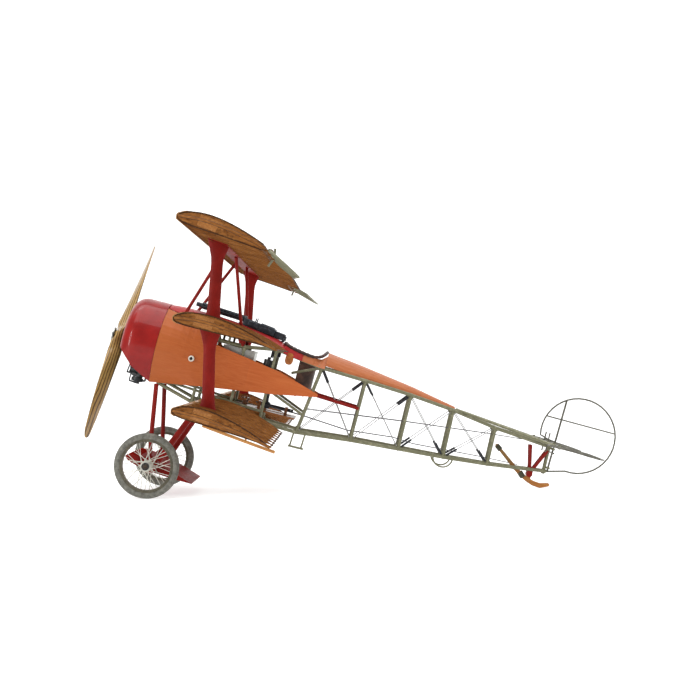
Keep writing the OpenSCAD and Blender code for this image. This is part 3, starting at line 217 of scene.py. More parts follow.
def burnt_rib(name, light, mid, dark, char, nose, tilt, tip):
    """A laser-cut rib face: amber ply, scorched along the section's outline and in blotches."""
    f = Finish(name)
    lines, tone = laser_cut(f, light, mid, dark)
    # Place in the section: x along the chord and z up from it, as shares of the chord
    back, up = f.less(f.along(0), nose[0]), f.less(f.along(2), nose[1])
    c, s = math.cos(math.radians(tilt)), math.sin(math.radians(tilt))
    x = f.calc("DIVIDE", f.less(f.times(back, c), f.times(up, s)), CHORD)
    z = f.calc("DIVIDE", f.add(f.times(back, s), f.times(up, c)), CHORD)
    x = f.calc("MAXIMUM", x, 0.0)
    # Half thickness: the common four-digit section's formula, with a blunter nose
    half = f.times(f.calc("SQRT", x), 5 * THICKNESS * (0.2969 + BLUNT))
    for power, k in ((1, -0.126 - BLUNT), (2, -0.3516), (3, 0.2843), (4, -0.1036)):
        half = f.add(half, f.times(f.calc("POWER", x, float(power)), 5 * THICKNESS * k))
    # Mean line: one parabola ahead of the highest camber and another behind it
    lean = f.times(x, 2 * CAMBER_AT)
    square = f.times(x, x)
    ahead = f.times(f.less(lean, square), CAMBER / CAMBER_AT ** 2)
    behind = f.times(f.less(f.add(lean, 1 - 2 * CAMBER_AT), square), CAMBER / (1 - CAMBER_AT) ** 2)
    mean = f.calc("MAXIMUM", f.times(ahead, f.calc("LESS_THAN", x, CAMBER_AT)),
                  f.times(behind, f.calc("GREATER_THAN", x, CAMBER_AT)))
    inside = f.times(f.less(half, f.calc("ABSOLUTE", f.less(z, mean))), CHORD)
    soot = f.noise(0.7, detail=5, rough=0.7)
    rim = f.fit(f.less(inside, f.fit(soot, 0.3, 0.7, 0.0, 0.9)), 0.1, 0.75, 0.9, 0.0)
    # Only the outermost rib is scorched in full
    outermost = f.fit(f.calc("ABSOLUTE", f.along(1)), tip - 2, tip - 1.5, 0.22, 1.0)
    blotch = f.noise(0.32, f.stretched((1, 1, 1.6)), detail=5, rough=0.72)
    blotch = f.fit(blotch, 0.54, 0.66, 0.0, 0.62)
    cut = f.times(f.fit(f.facing(1), 0.5, 0.8, 1.0, 0.0), 0.5)
    burnt = f.calc("MAXIMUM", f.calc("MAXIMUM", f.times(rim, outermost), blotch), cut)
    f.bump(lines, 0.04)
    return f.done(f.blend(burnt, tone, char), f.fit(soot, 0.3, 0.7, 0.7, 0.5), shine=0.12)


def painted_tube(name, colour, worn, rough=0.42, metal=0.25):
    """Sprayed metal with rubbed spots and specks of the bare tube."""
    f = Finish(name)
    rub = f.noise(0.25, detail=6, rough=0.7)
    tone = f.blend(f.fit(rub, 0.5, 0.72), colour, worn)
    f.bump(f.noise(1.6, detail=3), 0.05)
    return f.done(tone, f.fit(rub, 0.3, 0.75, rough * 1.2, rough * 0.7),
                  f.fit(rub, 0.55, 0.75, metal, 0.7))


def bare_metal(name, colour, dark, rough=0.3):
    """Metal without paint, rubbed in fine patches."""
    f = Finish(name)
    strokes = f.noise(1.5, detail=5, rough=0.7)
    tone = f.blend(f.fit(strokes, 0.3, 0.7), dark, colour)
    f.bump(strokes, 0.03)
    return f.done(tone, f.fit(strokes, 0.3, 0.7, rough * 1.3, rough * 0.8), 1.0)


def laminated(name, light, mid, dark):
    """Glued-up blank: layers across the thrust line, which the twist brings out as stripes."""
    f = Finish(name)
    sway = f.noise(0.08, f.stretched((1, 1, 0.25)), detail=2)
    layer = f.add(f.times(f.along(0), 0.62), f.times(sway, 1.1))
    band = f.calc("ABSOLUTE", f.less(f.times(f.calc("FRACT", layer), 2.0), 1.0))
    lines = f.noise(0.9, f.stretched((1.2, 1.2, 0.06)), detail=5, rough=0.65)
    tone = f.ramp(f.fit(lines, 0.3, 0.7), (0.0, mid), (1.0, light))
    tone = f.blend(f.fit(band, 0.55, 0.8, 0.0, 0.92), tone, dark)
    f.bump(lines, 0.03)
    return f.done(tone, f.fit(lines, 0.3, 0.7, 0.4, 0.26), coat=0.3, shine=0.25)


def leather(name, light, dark):
    """Grained hide or cord, darker where it is handled."""
    f = Finish(name)
    grain = f.noise(1.4, detail=5, rough=0.6)
    tone = f.blend(f.fit(f.noise(0.15, detail=3), 0.4, 0.65), dark, light)
    f.bump(grain, 0.18)
    return f.done(tone, f.fit(grain, 0.3, 0.7, 0.65, 0.42), sheen=0.1)


def tyre_rubber(name, clean, dusty):
    """Dusty grey rubber; the moulding rings are in the tyre's shape."""
    f = Finish(name)
    dust = f.noise(0.35, detail=5, rough=0.7)
    f.bump(f.noise(2.2, detail=3), 0.06)
    return f.done(f.blend(f.fit(dust, 0.35, 0.7), clean, dusty), 0.72)


def wheel_steel(name, spoke, bright_spoke, paint, worn_paint):
    """Bright spokes and hub flanges inside a dull olive-grey rim."""
    f = Finish(name)
    reach = f.calc("SQRT", f.add(f.calc("POWER", f.less(f.along(0), AXLE_A), 2.0),
                                 f.calc("POWER", f.less(f.along(2), AXLE_U), 2.0)))
    rim_inside = WHEEL_R - RIM_DEPTH
    rim = f.fit(reach, rim_inside, rim_inside + 0.4)
    rub = f.noise(0.5, detail=5, rough=0.7)
    tone = f.blend(rim, f.blend(f.fit(rub, 0.3, 0.7), spoke, bright_spoke),
                   f.blend(f.fit(rub, 0.35, 0.7), paint, worn_paint))
    f.bump(rub, 0.03)
    return f.done(tone, f.fit(rim, 0, 1, 0.35, 0.55), f.fit(rim, 0, 1, 0.85, 0.1))


MATERIALS = {}


def stock_up(maker, name, *colours, label=None, **how):
    MATERIALS[name] = maker(label or name, *(srgb(*c) for c in colours), **how)


stock_up(enamel, "red_enamel", (146, 26, 22), (126, 18, 16), rough=0.34, coat=0.3)
stock_up(enamel, "strut_paint", (134, 28, 21), (112, 20, 14), rough=0.42, coat=0.0, dusty=True)
stock_up(enamel, "deck_paint", (170, 44, 44), (146, 26, 28), rough=0.36, coat=0.05)
# The fairing ply is darker towards the front, fading out between 30 and 85 mm aft
stock_up(ply, "orange_ply", (192, 106, 56), (182, 94, 46), (170, 82, 38), coat=0.03, rough=0.5,
         deeper=((158, 84, 40), 30, 85))
stock_up(ply, "nose_ply", (184, 142, 94), (160, 116, 70), (124, 82, 46), grain=SIDEWAYS_GRAIN)
stock_up(ply, "spar_wood", (176, 122, 66), (152, 98, 48), (118, 70, 30), grain=SIDEWAYS_GRAIN)
stock_up(ply, "pale_wood", (206, 156, 96), (184, 128, 68), (142, 90, 44), coat=0.2)
stock_up(ply, "floor_wood", (150, 98, 54), (122, 74, 38), (90, 50, 26))
# A dimmer, less orange ply for the turtledeck, whose top faces the overhead lamp: painted shade
stock_up(ply, "deck_ply", (180, 108, 66), (168, 96, 56), (156, 84, 46), coat=0.05, rough=0.45)
stock_up(ply, "skid_wood", (186, 130, 66), (160, 100, 40), (118, 66, 26), coat=0.15,
         deeper=((104, 82, 42), 288, 312))
stock_up(laminated, "propeller_wood", (182, 148, 92), (146, 114, 62), (68, 50, 28))
stock_up(cut_wood, "rib_wood", (158, 104, 50), (128, 79, 33), (94, 54, 22), (36, 21, 11))
# Each wing's nose (aft, up), its tilt in degrees, and how far out its outermost rib stands
WINGS = (("upper", (49.7, 80.2), 8, 213.7), ("middle", (57.2, 25.6), 3.3, 183.7),
         ("lower", (67.4, -27.2), 6.2, 167.9))
for word, nose, tilt, tip in WINGS:
    ribs = word + "_wing_ribs"
    stock_up(burnt_rib, ribs, (166, 112, 58), (132, 82, 36), (98, 58, 24), (44, 25, 12),
             label=ribs + "_face", nose=nose, tilt=tilt, tip=tip)
stock_up(leather, "seat_leather", (84, 56, 42), (52, 34, 26))
stock_up(leather, "rim_leather", (74, 46, 38), (42, 28, 24))
stock_up(leather, "lace_thong", (96, 66, 50), (60, 40, 30))
stock_up(leather, "amber_leather", (176, 108, 48), (140, 78, 30))
stock_up(leather, "cord_cloth", (206, 196, 170), (166, 154, 126))
stock_up(painted_tube, "frame_steel", (110, 109, 85), (146, 143, 117))
stock_up(painted_tube, "tail_tube", (82, 80, 70), (122, 120, 108), rough=0.4, metal=0.1)
stock_up(painted_tube, "aileron_tube", (112, 110, 88), (140, 136, 112), rough=0.5, metal=0.1)
stock_up(painted_tube, "gun_metal", (50, 54, 60), (84, 90, 96), rough=0.38, metal=0.5)
stock_up(painted_tube, "engine_metal", (48, 50, 52), (92, 92, 90), metal=0.5)
stock_up(painted_tube, "instrument_black", (34, 34, 36), (62, 62, 62), metal=0.1)
stock_up(painted_tube, "sleeve_black", (26, 28, 34), (52, 54, 60), metal=0.0)
# Off-white paint on the metal eyelet, standing in for its glint: painted highlight
stock_up(painted_tube, "bright_ring", (214, 210, 200), (240, 238, 230), metal=0.05)
stock_up(painted_tube, "axle_bronze", (60, 50, 40), (102, 90, 72), metal=0.3)
stock_up(painted_tube, "clamp_steel", (62, 60, 44), (98, 94, 74))
stock_up(bare_metal, "hub_steel", (180, 180, 176), (120, 120, 118))
stock_up(bare_metal, "ammo_sheet", (212, 214, 208), (176, 178, 172), rough=0.4)
stock_up(bare_metal, "tank_metal", (196, 192, 178), (150, 146, 132), rough=0.42)
stock_up(bare_metal, "wire_steel", (176, 176, 176), (120, 120, 120), rough=0.28)
stock_up(bare_metal, "dark_wire", (120, 118, 122), (70, 70, 74), rough=0.4)
stock_up(tyre_rubber, "tyre_rubber", (82, 82, 75), (128, 127, 118))
stock_up(wheel_steel, "spoke_steel", (186, 184, 172), (216, 214, 204), (66, 62, 50), (98, 94, 78))

# Nodes that look different from the rest of their slot; the turtledeck, whose top faces the overhead lamp, gets a
# dimmer, less orange ply as painted shade; the ribs have materials by their own names
SPECIAL = {"aileron": "aileron_tube", "spar": "spar_wood", "turtledeck": "deck_ply"}
SLOT_OF = {s["node"]: s["material_slot"] for s in frame["record"]["subparts"]}
for name, node in frame["nodes"].items():
    kind = next((SPECIAL[word] for word in SPECIAL if word in name), SLOT_OF[name])
    node.data.materials.clear()
    node.data.materials.append(MATERIALS.get(name, MATERIALS[kind]))

# ---- Pieces made here, worked in mm in the aircraft's directions (aft, starboard, up) ----


def turns(count):
    return [2 * math.pi * k / count for k in range(count)]


def mix(a, b, t):
    return a + (b - a) * t


def smooth(t):
    t = min(1, max(0, t))
    return t * t * (3 - 2 * t)


def curve(points, steps):
    """A smooth closed line through the points."""
    points = [Vector(p) for p in points]
    line = []
    for i in range(len(points)):
        a, b, c, d = (points[(i + k) % len(points)] for k in (-1, 0, 1, 2))
        for t in (s / steps for s in range(steps)):
            line.append(0.5 * (2 * b + (c - a) * t + (2 * a - 5 * b + 4 * c - d) * t * t
                               + (3 * b - a - 3 * c + d) * t ** 3))
    return line


class Stock:
    """Gathers the solids of one piece."""

    def __init__(self):
        self.points, self.faces = [], []

    def loft(self, rings, closed=False):
        """Joins rings of points, and caps the ends unless the last ring meets the first."""
        first, count, n = len(self.points), len(rings), len(rings[0])
        self.points += [Vector(p) for ring in rings for p in ring]
        for i in range(count if closed else count - 1):
            a, b = first + i * n, first + (i + 1) % count * n
            self.faces += [(a + j, a + (j + 1) % n, b + (j + 1) % n, b + j) for j in range(n)]
        if not closed:
            self.faces += [tuple(range(first + n - 1, first - 1, -1)),
                           tuple(range(first + (count - 1) * n, first + count * n))]

    def tube(self, line, radius, sides=12, closed=False):
        """A round rod along the line; the radius may be one for each point."""
        line = [Vector(p) for p in line]
        last = len(line) - 1
        rings, across = [], None
        for i, p in enumerate(line):
            ahead = line[(i + 1) % len(line)] if closed else line[min(i + 1, last)]
            behind = line[i - 1] if closed else line[max(i - 1, 0)]
            along = (ahead - behind).normalized()
            across = along.orthogonal() if across is None else across - along * across.dot(along)
            across.normalize()
            other = along.cross(across)
            r = radius[i] if isinstance(radius, list) else radius
            rings.append([p + across * (r * math.cos(t)) + other * (r * math.sin(t))
                          for t in turns(sides)])
        self.loft(rings, closed)

    def lathe(self, centre, axis, profile, sides=48, closed=False):
        """Turns (distance along the axis, radius) pairs about the axis."""
        axis = Vector(axis).normalized()
        across = axis.orthogonal().normalized()
        other = axis.cross(across)
        self.loft([[Vector(centre) + axis * d + (across * math.cos(t) + other * math.sin(t)) * r
                    for t in turns(sides)] for d, r in profile], closed)

    def block(self, low, high, round_off, turn=0.0, pivot=(0, 0, 0)):
        """A box with rounded edges, nose-up tilt in degrees about the pivot."""
        low, high, pivot = Vector(low), Vector(high), Vector(pivot)
        mid, half = (low + high) / 2, (high - low) / 2
        tilt = Matrix.Rotation(math.radians(turn), 3, "Y")
        corner = round_off * 0.8
        rings = []
        # Three rings round off each end; shrink and pull inwards are shares of round_off
        for end, shrink, pull in ((-1, 1, 0), (-1, 0.3, 0.3), (-1, 0, 1),
                                  (1, 0, 1), (1, 0.3, 0.3), (1, 1, 0)):
            x = end * (half.x - pull * round_off)
            y, z = half.y - round_off * shrink, half.z - round_off * shrink
            rings.append([pivot + tilt @ (mid + Vector((x, a, b)) - pivot) for a, b in (
                (y, z - corner), (y - corner, z), (-y + corner, z), (-y, z - corner),
                (-y, -z + corner), (-y + corner, -z), (y - corner, -z), (y, -z + corner))])
        self.loft(rings)

    def make(self, name, body, slot, *replaced, material=None, crease=35):
        """The finished piece; edges sharper than crease degrees stay sharp."""
        mesh = bpy.data.meshes.new(name)
        mesh.from_pydata([at(*p) for p in self.points], [], self.faces)
        edit = bmesh.new()
        edit.from_mesh(mesh)
        bmesh.ops.recalc_face_normals(edit, faces=edit.faces)
        edit.to_mesh(mesh)
        edit.free()
        mesh.polygons.foreach_set("use_smooth", [True] * len(mesh.polygons))
        mesh.set_sharp_from_angle(angle=math.radians(crease))
        obj = bpy.data.objects.new(name, mesh)
        bpy.context.scene.collection.objects.link(obj)
        mesh.materials.append(MATERIALS[material or slot])
        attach(obj, body)
        if replaced:
            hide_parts(*replaced)
        return obj


# Propeller: a twisted blank with a flat back, thin edges and round tips

PROP_R, HUB_R, PITCH, PROP_TURN = 82.8, 12, 150, math.radians(31)
BLADE_WIDE, HUB_DEEP, TIP_DEEP = 13, 8.2, 1.1
HUB_X, TIP_X = -1.8, -0.1
# Widths as shares of BLADE_WIDE: at the centre, where the blade leaves the hub, and at the tip
CENTRE_WIDE, NECK_WIDE, TIP_WIDE = 1.25, 0.8, 0.62
# Places as shares of the radius
NECK_AT, TWISTED_AT, WIDEST_AT, TIP_ROUNDS_AT = 0.12, 0.16, 0.62, 0.94
EVEN_UP_TO = 70


def blade_ring(s):
    """The blank's section at share s of the radius, -1 to 1."""
    f, side = abs(s), -1 if s < 0 else 1
    turn = math.atan2(PITCH, 2 * math.pi * max(PROP_R * f, HUB_R)) * smooth(f / TWISTED_AT)
    if f < NECK_AT:
        wide = mix(CENTRE_WIDE, NECK_WIDE, f / NECK_AT)
    elif f < WIDEST_AT:
        wide = mix(NECK_WIDE, 1, smooth((f - NECK_AT) / (WIDEST_AT - NECK_AT)))
    else:
        wide = mix(1, TIP_WIDE, ((f - WIDEST_AT) / (1 - WIDEST_AT)) ** 2)
    rounding = max(0, (f - TIP_ROUNDS_AT) / (1 - TIP_ROUNDS_AT))
    wide *= BLADE_WIDE / 2 * math.sqrt(max(0.02, 1 - rounding ** 2))
    # It thins quickly near the hub and slowly further out
    deep = mix(HUB_DEEP, TIP_DEEP, min(1, f * 1.05) ** 0.42) / 2
    ring = []
    for t in turns(40):
        v, h = wide * math.cos(t), -deep * math.sin(t)
        a = mix(HUB_X, TIP_X, f) + h * math.cos(turn) - v * math.sin(turn) * side
        y, u = v * math.cos(turn) + h * math.sin(turn) * side, PROP_R * s
        ring.append((a, y * math.cos(PROP_TURN) + u * math.sin(PROP_TURN),
                     u * math.cos(PROP_TURN) - y * math.sin(PROP_TURN) + THRUST_RISE))
    return ring


def blade_share(k):
    """Steps of even length at first, then closer and closer towards the round tip."""
    if abs(k) > EVEN_UP_TO:
        return math.sin(math.radians(k))
    return k / EVEN_UP_TO * math.sin(math.radians(EVEN_UP_TO))


blank = Stock()
blank.loft([blade_ring(blade_share(k)) for k in range(-90, 91)])
blank.make("propeller_blank", "engine", "propeller_wood", "propeller")

# Tyres with moulding rings on their walls and fine grooves round the tread

GROOVE, GROOVES, RIDGE, RIDGES = 0.13, 24, 0.12, 9


def tyre_profile():
    """(distance along the axle, radius) round the tyre's section, from the middle of the tread."""
    profile = []
    for t in turns(96):
        on_tread, on_wall = math.cos(t) > 0.55, 0.6 < abs(math.sin(t)) < 0.98
        groove = GROOVE * (1 + math.cos(GROOVES * t)) / 2 if on_tread else 0
        from_tread = t if t < math.pi else 2 * math.pi - t
        ridge = RIDGE * max(0, math.cos(RIDGES * from_tread)) if on_wall else 0
        r = TYRE_R - groove - ridge
        profile.append((r * math.sin(t), WHEEL_R - TYRE_R + r * math.cos(t)))
    return profile


CAP_OUT, CAP_R = 6.9, 1.9
CAP = [(-0.3, CAP_R), (0.1, 2.0), (0.3, CAP_R), (0.35, 1.5), (0.5, 1.45), (0.9, 1.2),
       (1.05, 0.8), (1.1, 0.2)]
for side, word in SIDES:
    rubber = Stock()
    rubber.lathe((AXLE_A, side * WHEEL_Y, AXLE_U), (0, 1, 0), tyre_profile(), 120, closed=True)
    rubber.make("moulded_tyre_" + word, word + "_wheel", "tyre_rubber", "tyre_" + word, crease=60)
    cap = Stock()
    y = side * (WHEEL_Y + CAP_OUT)
    cap.lathe((AXLE_A, y, AXLE_U), (0, side, 0), CAP, 36)
    pin_y = y + side * 0.75
    cap.tube([(AXLE_A - CAP_R, pin_y, AXLE_U), (AXLE_A + CAP_R, pin_y, AXLE_U)], 0.2, 8)
    cap.make("axle_cap_" + word, "airframe", "hub_steel", material="axle_bronze")

# Lashings: cord wound in two layers round the axle, on both sides of its plate

GEAR_FOOT_Y, PLATE_GAP = 32, 2.1
CORD_R, CORD_STEP, WINDS, POINTS = 0.34, 0.42, 3, 24
# (radius, start along the axle) of each layer
LAYERS = ((2.25, -0.62), (2.95, -0.3))
for side, word in SIDES:
    wound = Stock()
    for face in (-PLATE_GAP, PLATE_GAP):
        for radius, start in LAYERS:
            line = []
            for k in range(POINTS * WINDS + 1):
                t = 2 * math.pi * k / POINTS
                y = side * (GEAR_FOOT_Y + face) + start + CORD_STEP * k / POINTS
                line.append((AXLE_A + radius * math.cos(t), y, AXLE_U + radius * math.sin(t)))
            wound.tube(line, CORD_R, 8)
    replaced = ["shock_cords"] if side < 0 else []
    wound.make("axle_lashing_" + word, "airframe", "cord_cloth", *replaced)

# Cockpit rim: a laced leather roll, with a pull tab on the port side

RIM_HALF = [(115.2, 0, 27.6), (115.4, 8, 27.5), (115.8, 14.5, 27), (118.4, 18.2, 25.9),
            (124, 19.6, 24.6), (131, 19.8, 23.4), (137.5, 19.4, 22.9), (142, 16.4, 24.2),
            (144.6, 10, 26.6), (145.4, 4, 27.9), (145.6, 0, 28.2)]
ROLL_R, SWELL, LACE_EVERY = 1.05, 0.1, 9
rim_line = curve(RIM_HALF + [(a, -y, u) for a, y, u in RIM_HALF[-2:0:-1]], 18)
roll = Stock()
roll.tube(rim_line, [ROLL_R + SWELL * math.sin(2 * math.pi * i / LACE_EVERY)
                     for i in range(len(rim_line))], 16, closed=True)
coaming = roll.make("coaming_roll", "airframe", "rim_leather", "cockpit_rim", crease=80)
lace = Stock()
for i in range(0, len(rim_line), LACE_EVERY):
    p, q = rim_line[i], rim_line[(i + 1) % len(rim_line)]
    lace.lathe(p - (q - p).normalized() * 0.15, q - p,
               [(0, 0.93), (0, 1.03), (0.3, 1.03), (0.3, 0.93)], 16, closed=True)
lace.make("coaming_lacing", "airframe", "rim_leather", material="lace_thong")
TAB_A, TAB_Y = 121, -21.6
tab = Stock()
tab.loft([[(TAB_A + wide * math.cos(t), TAB_Y + deep * math.sin(t), u) for t in turns(20)]
          for u, wide, deep in ((21.5, 1.6, 0.35), (19.5, 2.6, 0.5), (17.5, 2.9, 0.6),
                                (15.4, 2.8, 0.6), (13.9, 2.1, 0.5), (13.2, 0.9, 0.3))])
tab.make("rim_tab", "airframe", "rim_leather", material="amber_leather")

# Guns: slotted cooling jackets over their barrels, receivers, feeds and grips

GUN_Y, MUZZLE_A, MUZZLE_U, JACKET_NOSE_UP = 7.5, 47, 39.2, 3.4
JACKET_FROM, JACKET_LONG, JACKET_OUT, JACKET_IN = 4.6, 31, 2.28, 1.95
ROUND, ROWS, HALF_ROWS = 48, 62, 31
MUZZLE = [(0, 0.7), (0, 1.5), (0.5, 1.6), (3.6, 1.5), (4.4, 1.9), (4.4, 0.8)]
BARREL, BANDS = [(4.2, 0.9), (36, 0.9)], (4.6, 14.2, 24.6, 35.6)
RECEIVER_A, RECEIVER_U, RECEIVER_NOSE_UP = 82.5, 35.2, 7
# (low corner, high corner, rounding) of the body, feed, cover, side plates, back and trunnion
RECEIVER_BLOCKS = (
    ((0, -2.5, -2.8), (23.5, 2.5, 2.8), 0.5), ((3.5, -3.8, -1.7), (11, 3.8, 2.1), 0.6),
    ((12.5, -1.9, 2.3), (22, 1.9, 3.5), 0.35), ((13, -2.9, -1.5), (21, 2.9, 0.8), 0.3),
    ((23, -1.5, -3), (31, 1.5, 1.9), 0.5), ((-3, -1.4, -3.6), (1, 1.4, -1.4), 0.4))


def open_at(i, k):
    """Whether cell k of row i is a hole: three cells wide, four long, staggered, and none at
    the ends of either half of the jacket."""
    k %= ROUND
    stagger = 3 if k // 6 % 2 else 0
    at_end = i % HALF_ROWS in (0, HALF_ROWS - 1)
    return k % 6 in (1, 2, 3) and (i + stagger) % 6 < 4 and not at_end


def gun_jacket(side, word):
    tilt = math.radians(JACKET_NOSE_UP)
    along = Vector((math.cos(tilt), 0, -math.sin(tilt)))
    upright = Vector((math.sin(tilt), 0, math.cos(tilt)))
    muzzle = Vector((MUZZLE_A, side * GUN_Y, MUZZLE_U))
    jacket = Stock()
    # Muzzle, barrel and the bands round the jacket
    jacket.lathe(muzzle, along, MUZZLE, 32)
    jacket.lathe(muzzle, along, BARREL, 20)
    for d in BANDS:
        jacket.lathe(muzzle, along, [(d - 0.4, 1.9), (d - 0.4, 2.38), (d + 0.4, 2.38),
                                     (d + 0.4, 1.9)], 40, closed=True)
    first = len(jacket.points)
    for r in (JACKET_OUT, JACKET_IN):
        for i in range(ROWS + 1):
            centre = muzzle + along * (JACKET_FROM + JACKET_LONG * i / ROWS)
            jacket.points += [centre + (upright * math.cos(t) + SIDE * math.sin(t)) * r
                              for t in turns(ROUND)]
    for i in range(ROWS):
        for k in range(ROUND):
            if open_at(i, k):
                continue
            # Corners a to d of this cell lie outside, and e to h inside them
            a, b, c, d, e, f, g, h = (
                first + (layer * (ROWS + 1) + i + p) * ROUND + (k + q) % ROUND
                for layer in (0, 1) for p, q in ((0, 0), (1, 0), (1, 1), (0, 1)))
            jacket.faces += [(a, b, c, d), (e, h, g, f)]
            # Walls of the holes next to it
            for p, q, wall in ((0, 1, (d, c, g, h)), (0, -1, (a, e, f, b)),
                               (1, 0, (b, f, g, c)), (-1, 0, (a, d, h, e))):
                if open_at(i + p, k + q):
                    jacket.faces.append(wall)
    jacket.make("gun_jacket_" + word, "airframe", "gun_metal", "gun_" + word, crease=25)


def gun_receiver(side, word):
    y = side * GUN_Y
    pivot = Vector((RECEIVER_A, y, RECEIVER_U))
    lean = Matrix.Rotation(math.radians(RECEIVER_NOSE_UP), 3, "Y")

    def on_gun(a, b, u):
        return pivot + lean @ Vector((a, b, u))

    receiver = Stock()
    for low, high, soft in RECEIVER_BLOCKS:
        receiver.block(pivot + Vector(low), pivot + Vector(high), soft, RECEIVER_NOSE_UP, pivot)
    # Grips, ring sight on its post, cocking handle and rivets
    for b in (-1.5, 1.5):
        receiver.tube([on_gun(29.5, b * 0.8, 1.2), on_gun(31.4, b, 0.2), on_gun(31.6, b, -1.8),
                       on_gun(30.2, b * 0.8, -4)], 0.62, 10)
    receiver.tube([on_gun(8, 0, 2.6), on_gun(8, 0, 4.9)], 0.42, 10)
    receiver.lathe(on_gun(8, 0, 5.2), (1, 0, 0), [(-0.2, 0.5), (-0.2, 0.8), (0.2, 0.8), (0.2, 0.5)],
                   20, closed=True)
    receiver.tube([on_gun(18, side * 2.4, 1.4), on_gun(17.6, side * 4.2, 1.9),
                   on_gun(17.2, side * 4.9, 2.6)], 0.35, 8)
    for a in (3, 9, 15, 21):
        for b in (-2.55, 2.55):
            receiver.lathe(on_gun(a, b, -2), (0, b, 0),
                           [(-0.2, 0.42), (0.12, 0.42), (0.25, 0.2)], 12)
    # Feet on the deck
    receiver.block((60.2, y - 0.8, 34), (62.8, y + 0.8, 37), 0.3)
    receiver.block((86, y - 0.8, 30.4), (90, y + 0.8, 33), 0.3)
    receiver.make("gun_receiver_" + word, "airframe", "gun_metal", crease=30)


for side, word in SIDES:
    gun_jacket(side, word)
    gun_receiver(side, word)

# Fairing fasteners: a metal eyelet, its glint painted on as an off-white colour, round a dark stud

FASTENER_A, FASTENER_Y, FASTENER_U = 55.4, 30.2, 1
EYELET = [(-1.2, 1.1), (0.9, 1.1), (1.25, 1.3), (1.3, 1.75), (0.9, 2.05), (-1.2, 2.05)]
STUD = [(-1, 1.0), (0.5, 1.0), (0.8, 0.8), (0.95, 0.3)]
for side, word in SIDES:
    face, outward = (FASTENER_A, side * FASTENER_Y, FASTENER_U), (0, side, 0)
    eyelet = Stock()
    eyelet.lathe(face, outward, EYELET, 40, closed=True)
    eyelet.make("fairing_eyelet_" + word, "airframe", "hub_steel", material="bright_ring")
    stud = Stock()
    stud.lathe(face, outward, STUD, 24)
    stud.make("fairing_stud_" + word, "airframe", "hub_steel", material="sleeve_black")


FRAME_HALF, TAIL_HALF, TAPER_FROM, TAPER_LONG = 20, 1.6, 141, 175.8


def half_at(a):
    """Half width of the fuselage frame, which tapers from the cockpit to the tail."""
    return mix(FRAME_HALF, TAIL_HALF, max(0, (a - TAPER_FROM) / TAPER_LONG))


# Control cables, taut from the cockpit back to the tail, at a share of the frame's half width

ELEVATOR_CABLE = [(104.5, -18.2), (141.5, -20), (172.7, -22.2), (206, -19), (221, -20),
                  (269.4, -17.1), (297, -16.1)]
RUDDER_CABLE = [(141.5, -14.5), (210.5, -6), (270, 0.2), (296, 2.4)]
cables = Stock()
for side in (-1, 1):
    for line, share in ((ELEVATOR_CABLE, 0.225), (RUDDER_CABLE, 0.35)):
        cables.tube([(a, side * share * half_at(a), u) for a, u in line], 0.24, 8)
cables.make("control_cables", "airframe", "wire_steel", material="dark_wire")

# Gussets welded in the corners of the frame's side bays: (aft, up) of the upper and lower joints

BAYS = [((62, 18), (62, -28.7)), ((88.5, 17.8), (88.5, -29.7)), ((111, 21.6), (111, -30.4)),
        ((144.6, 16.8), (137.9, -31.4)), ((176.8, 15.5), (176.4, -27.7)),
        ((210.5, 13.6), (210.7, -25.6)), ((242.4, 10.5), (243.1, -23.6)),
        ((274.8, 5.5), (275.3, -20.9))]
GUSSET_REACH, GUSSET_HALF = 3.3, 0.28
gussets = Stock()
for upper, lower in BAYS:
    for side in (-1, 1):
        for (a, u), toward in ((upper, -1), (lower, 1)):
            y = side * (half_at(a) - 0.1)
            for way in (-1, 1):
                corner = [(0, 0), (way * GUSSET_REACH, 0.1 * toward),
                          (way * 0.6, toward * GUSSET_REACH)]
                gussets.loft([[(a + p, y + deep, u + q) for p, q in corner]
                              for deep in (-GUSSET_HALF, GUSSET_HALF)])
            gussets.lathe((a, y, u), (0, side, 0), [(-1.1, 0.9), (1.25, 0.9), (1.5, 0.6)], 16)
gussets.make("frame_gussets", "airframe", "frame_steel", crease=20)

# Tail skid's two clamps and the cap on its head: (place, radius, width) of each clamp

CLAMPS = (((295.6, 0, -18.5), 1.8, 1.4), ((301.6, 0, -22.4), 2.05, 4.4))
CLAMP_WAY, CAP_WAY = Vector((8, 0, -7)).normalized(), Vector((7.3, 0, -5.5)).normalized()
HEAD, CAP_EDGE = Vector((279.2, 0, -6.1)), Vector((279.6, 0, -6.4))
HEAD_R, SKID_CAP_R, SKID_CAP_LONG = 1.0, 1.8, 4
clamps = Stock()
for place, r, wide in CLAMPS:
    clamps.tube([Vector(place) + CLAMP_WAY * d for d in (-wide / 2, wide / 2)], r, 20)
clamps.make("skid_clamps", "skid", "skid_wood", material="clamp_steel")
skid_cap = Stock()
skid_cap.tube([HEAD, CAP_EDGE, CAP_EDGE + CAP_WAY * SKID_CAP_LONG],
              [HEAD_R, SKID_CAP_R, SKID_CAP_R], 20)
skid_cap.make("skid_cap", "skid", "skid_wood", material="clamp_steel")

# Rails that steady the back of the seat from the frame's joints

rails = Stock()
for side in (-1, 1):
    rails.tube([(143.8, side * 18.6, 16.2), (134, side * 14.6, 12.2), (124.6, side * 12.9, 8)],
               0.95, 14)
rails.make("seat_rails", "airframe", "frame_steel")

# Quilted pad on the seat: (height, share of the radius) of its rings, with a crossed seam on top

SEAT_A, SEAT_FLOOR, PAD_R = 128.2, -3.2, 10.4
PAD_RINGS = ((-0.02, 0.86), (0.25, 0.97), (0.9, 1.0), (1.6, 0.95), (2.0, 0.8), (2.15, 0.5),
             (2.05, 0.2), (2.0, 0.03))
SEAM_DEEP, SEAM_WIDE = 0.35, 0.12


def pad_height(h, w, t):
    on_seam = 0.3 < w < 0.9 and h > 1.5 and abs(math.cos(2 * t)) < SEAM_WIDE
    return SEAT_FLOOR + h - (SEAM_DEEP if on_seam else 0)


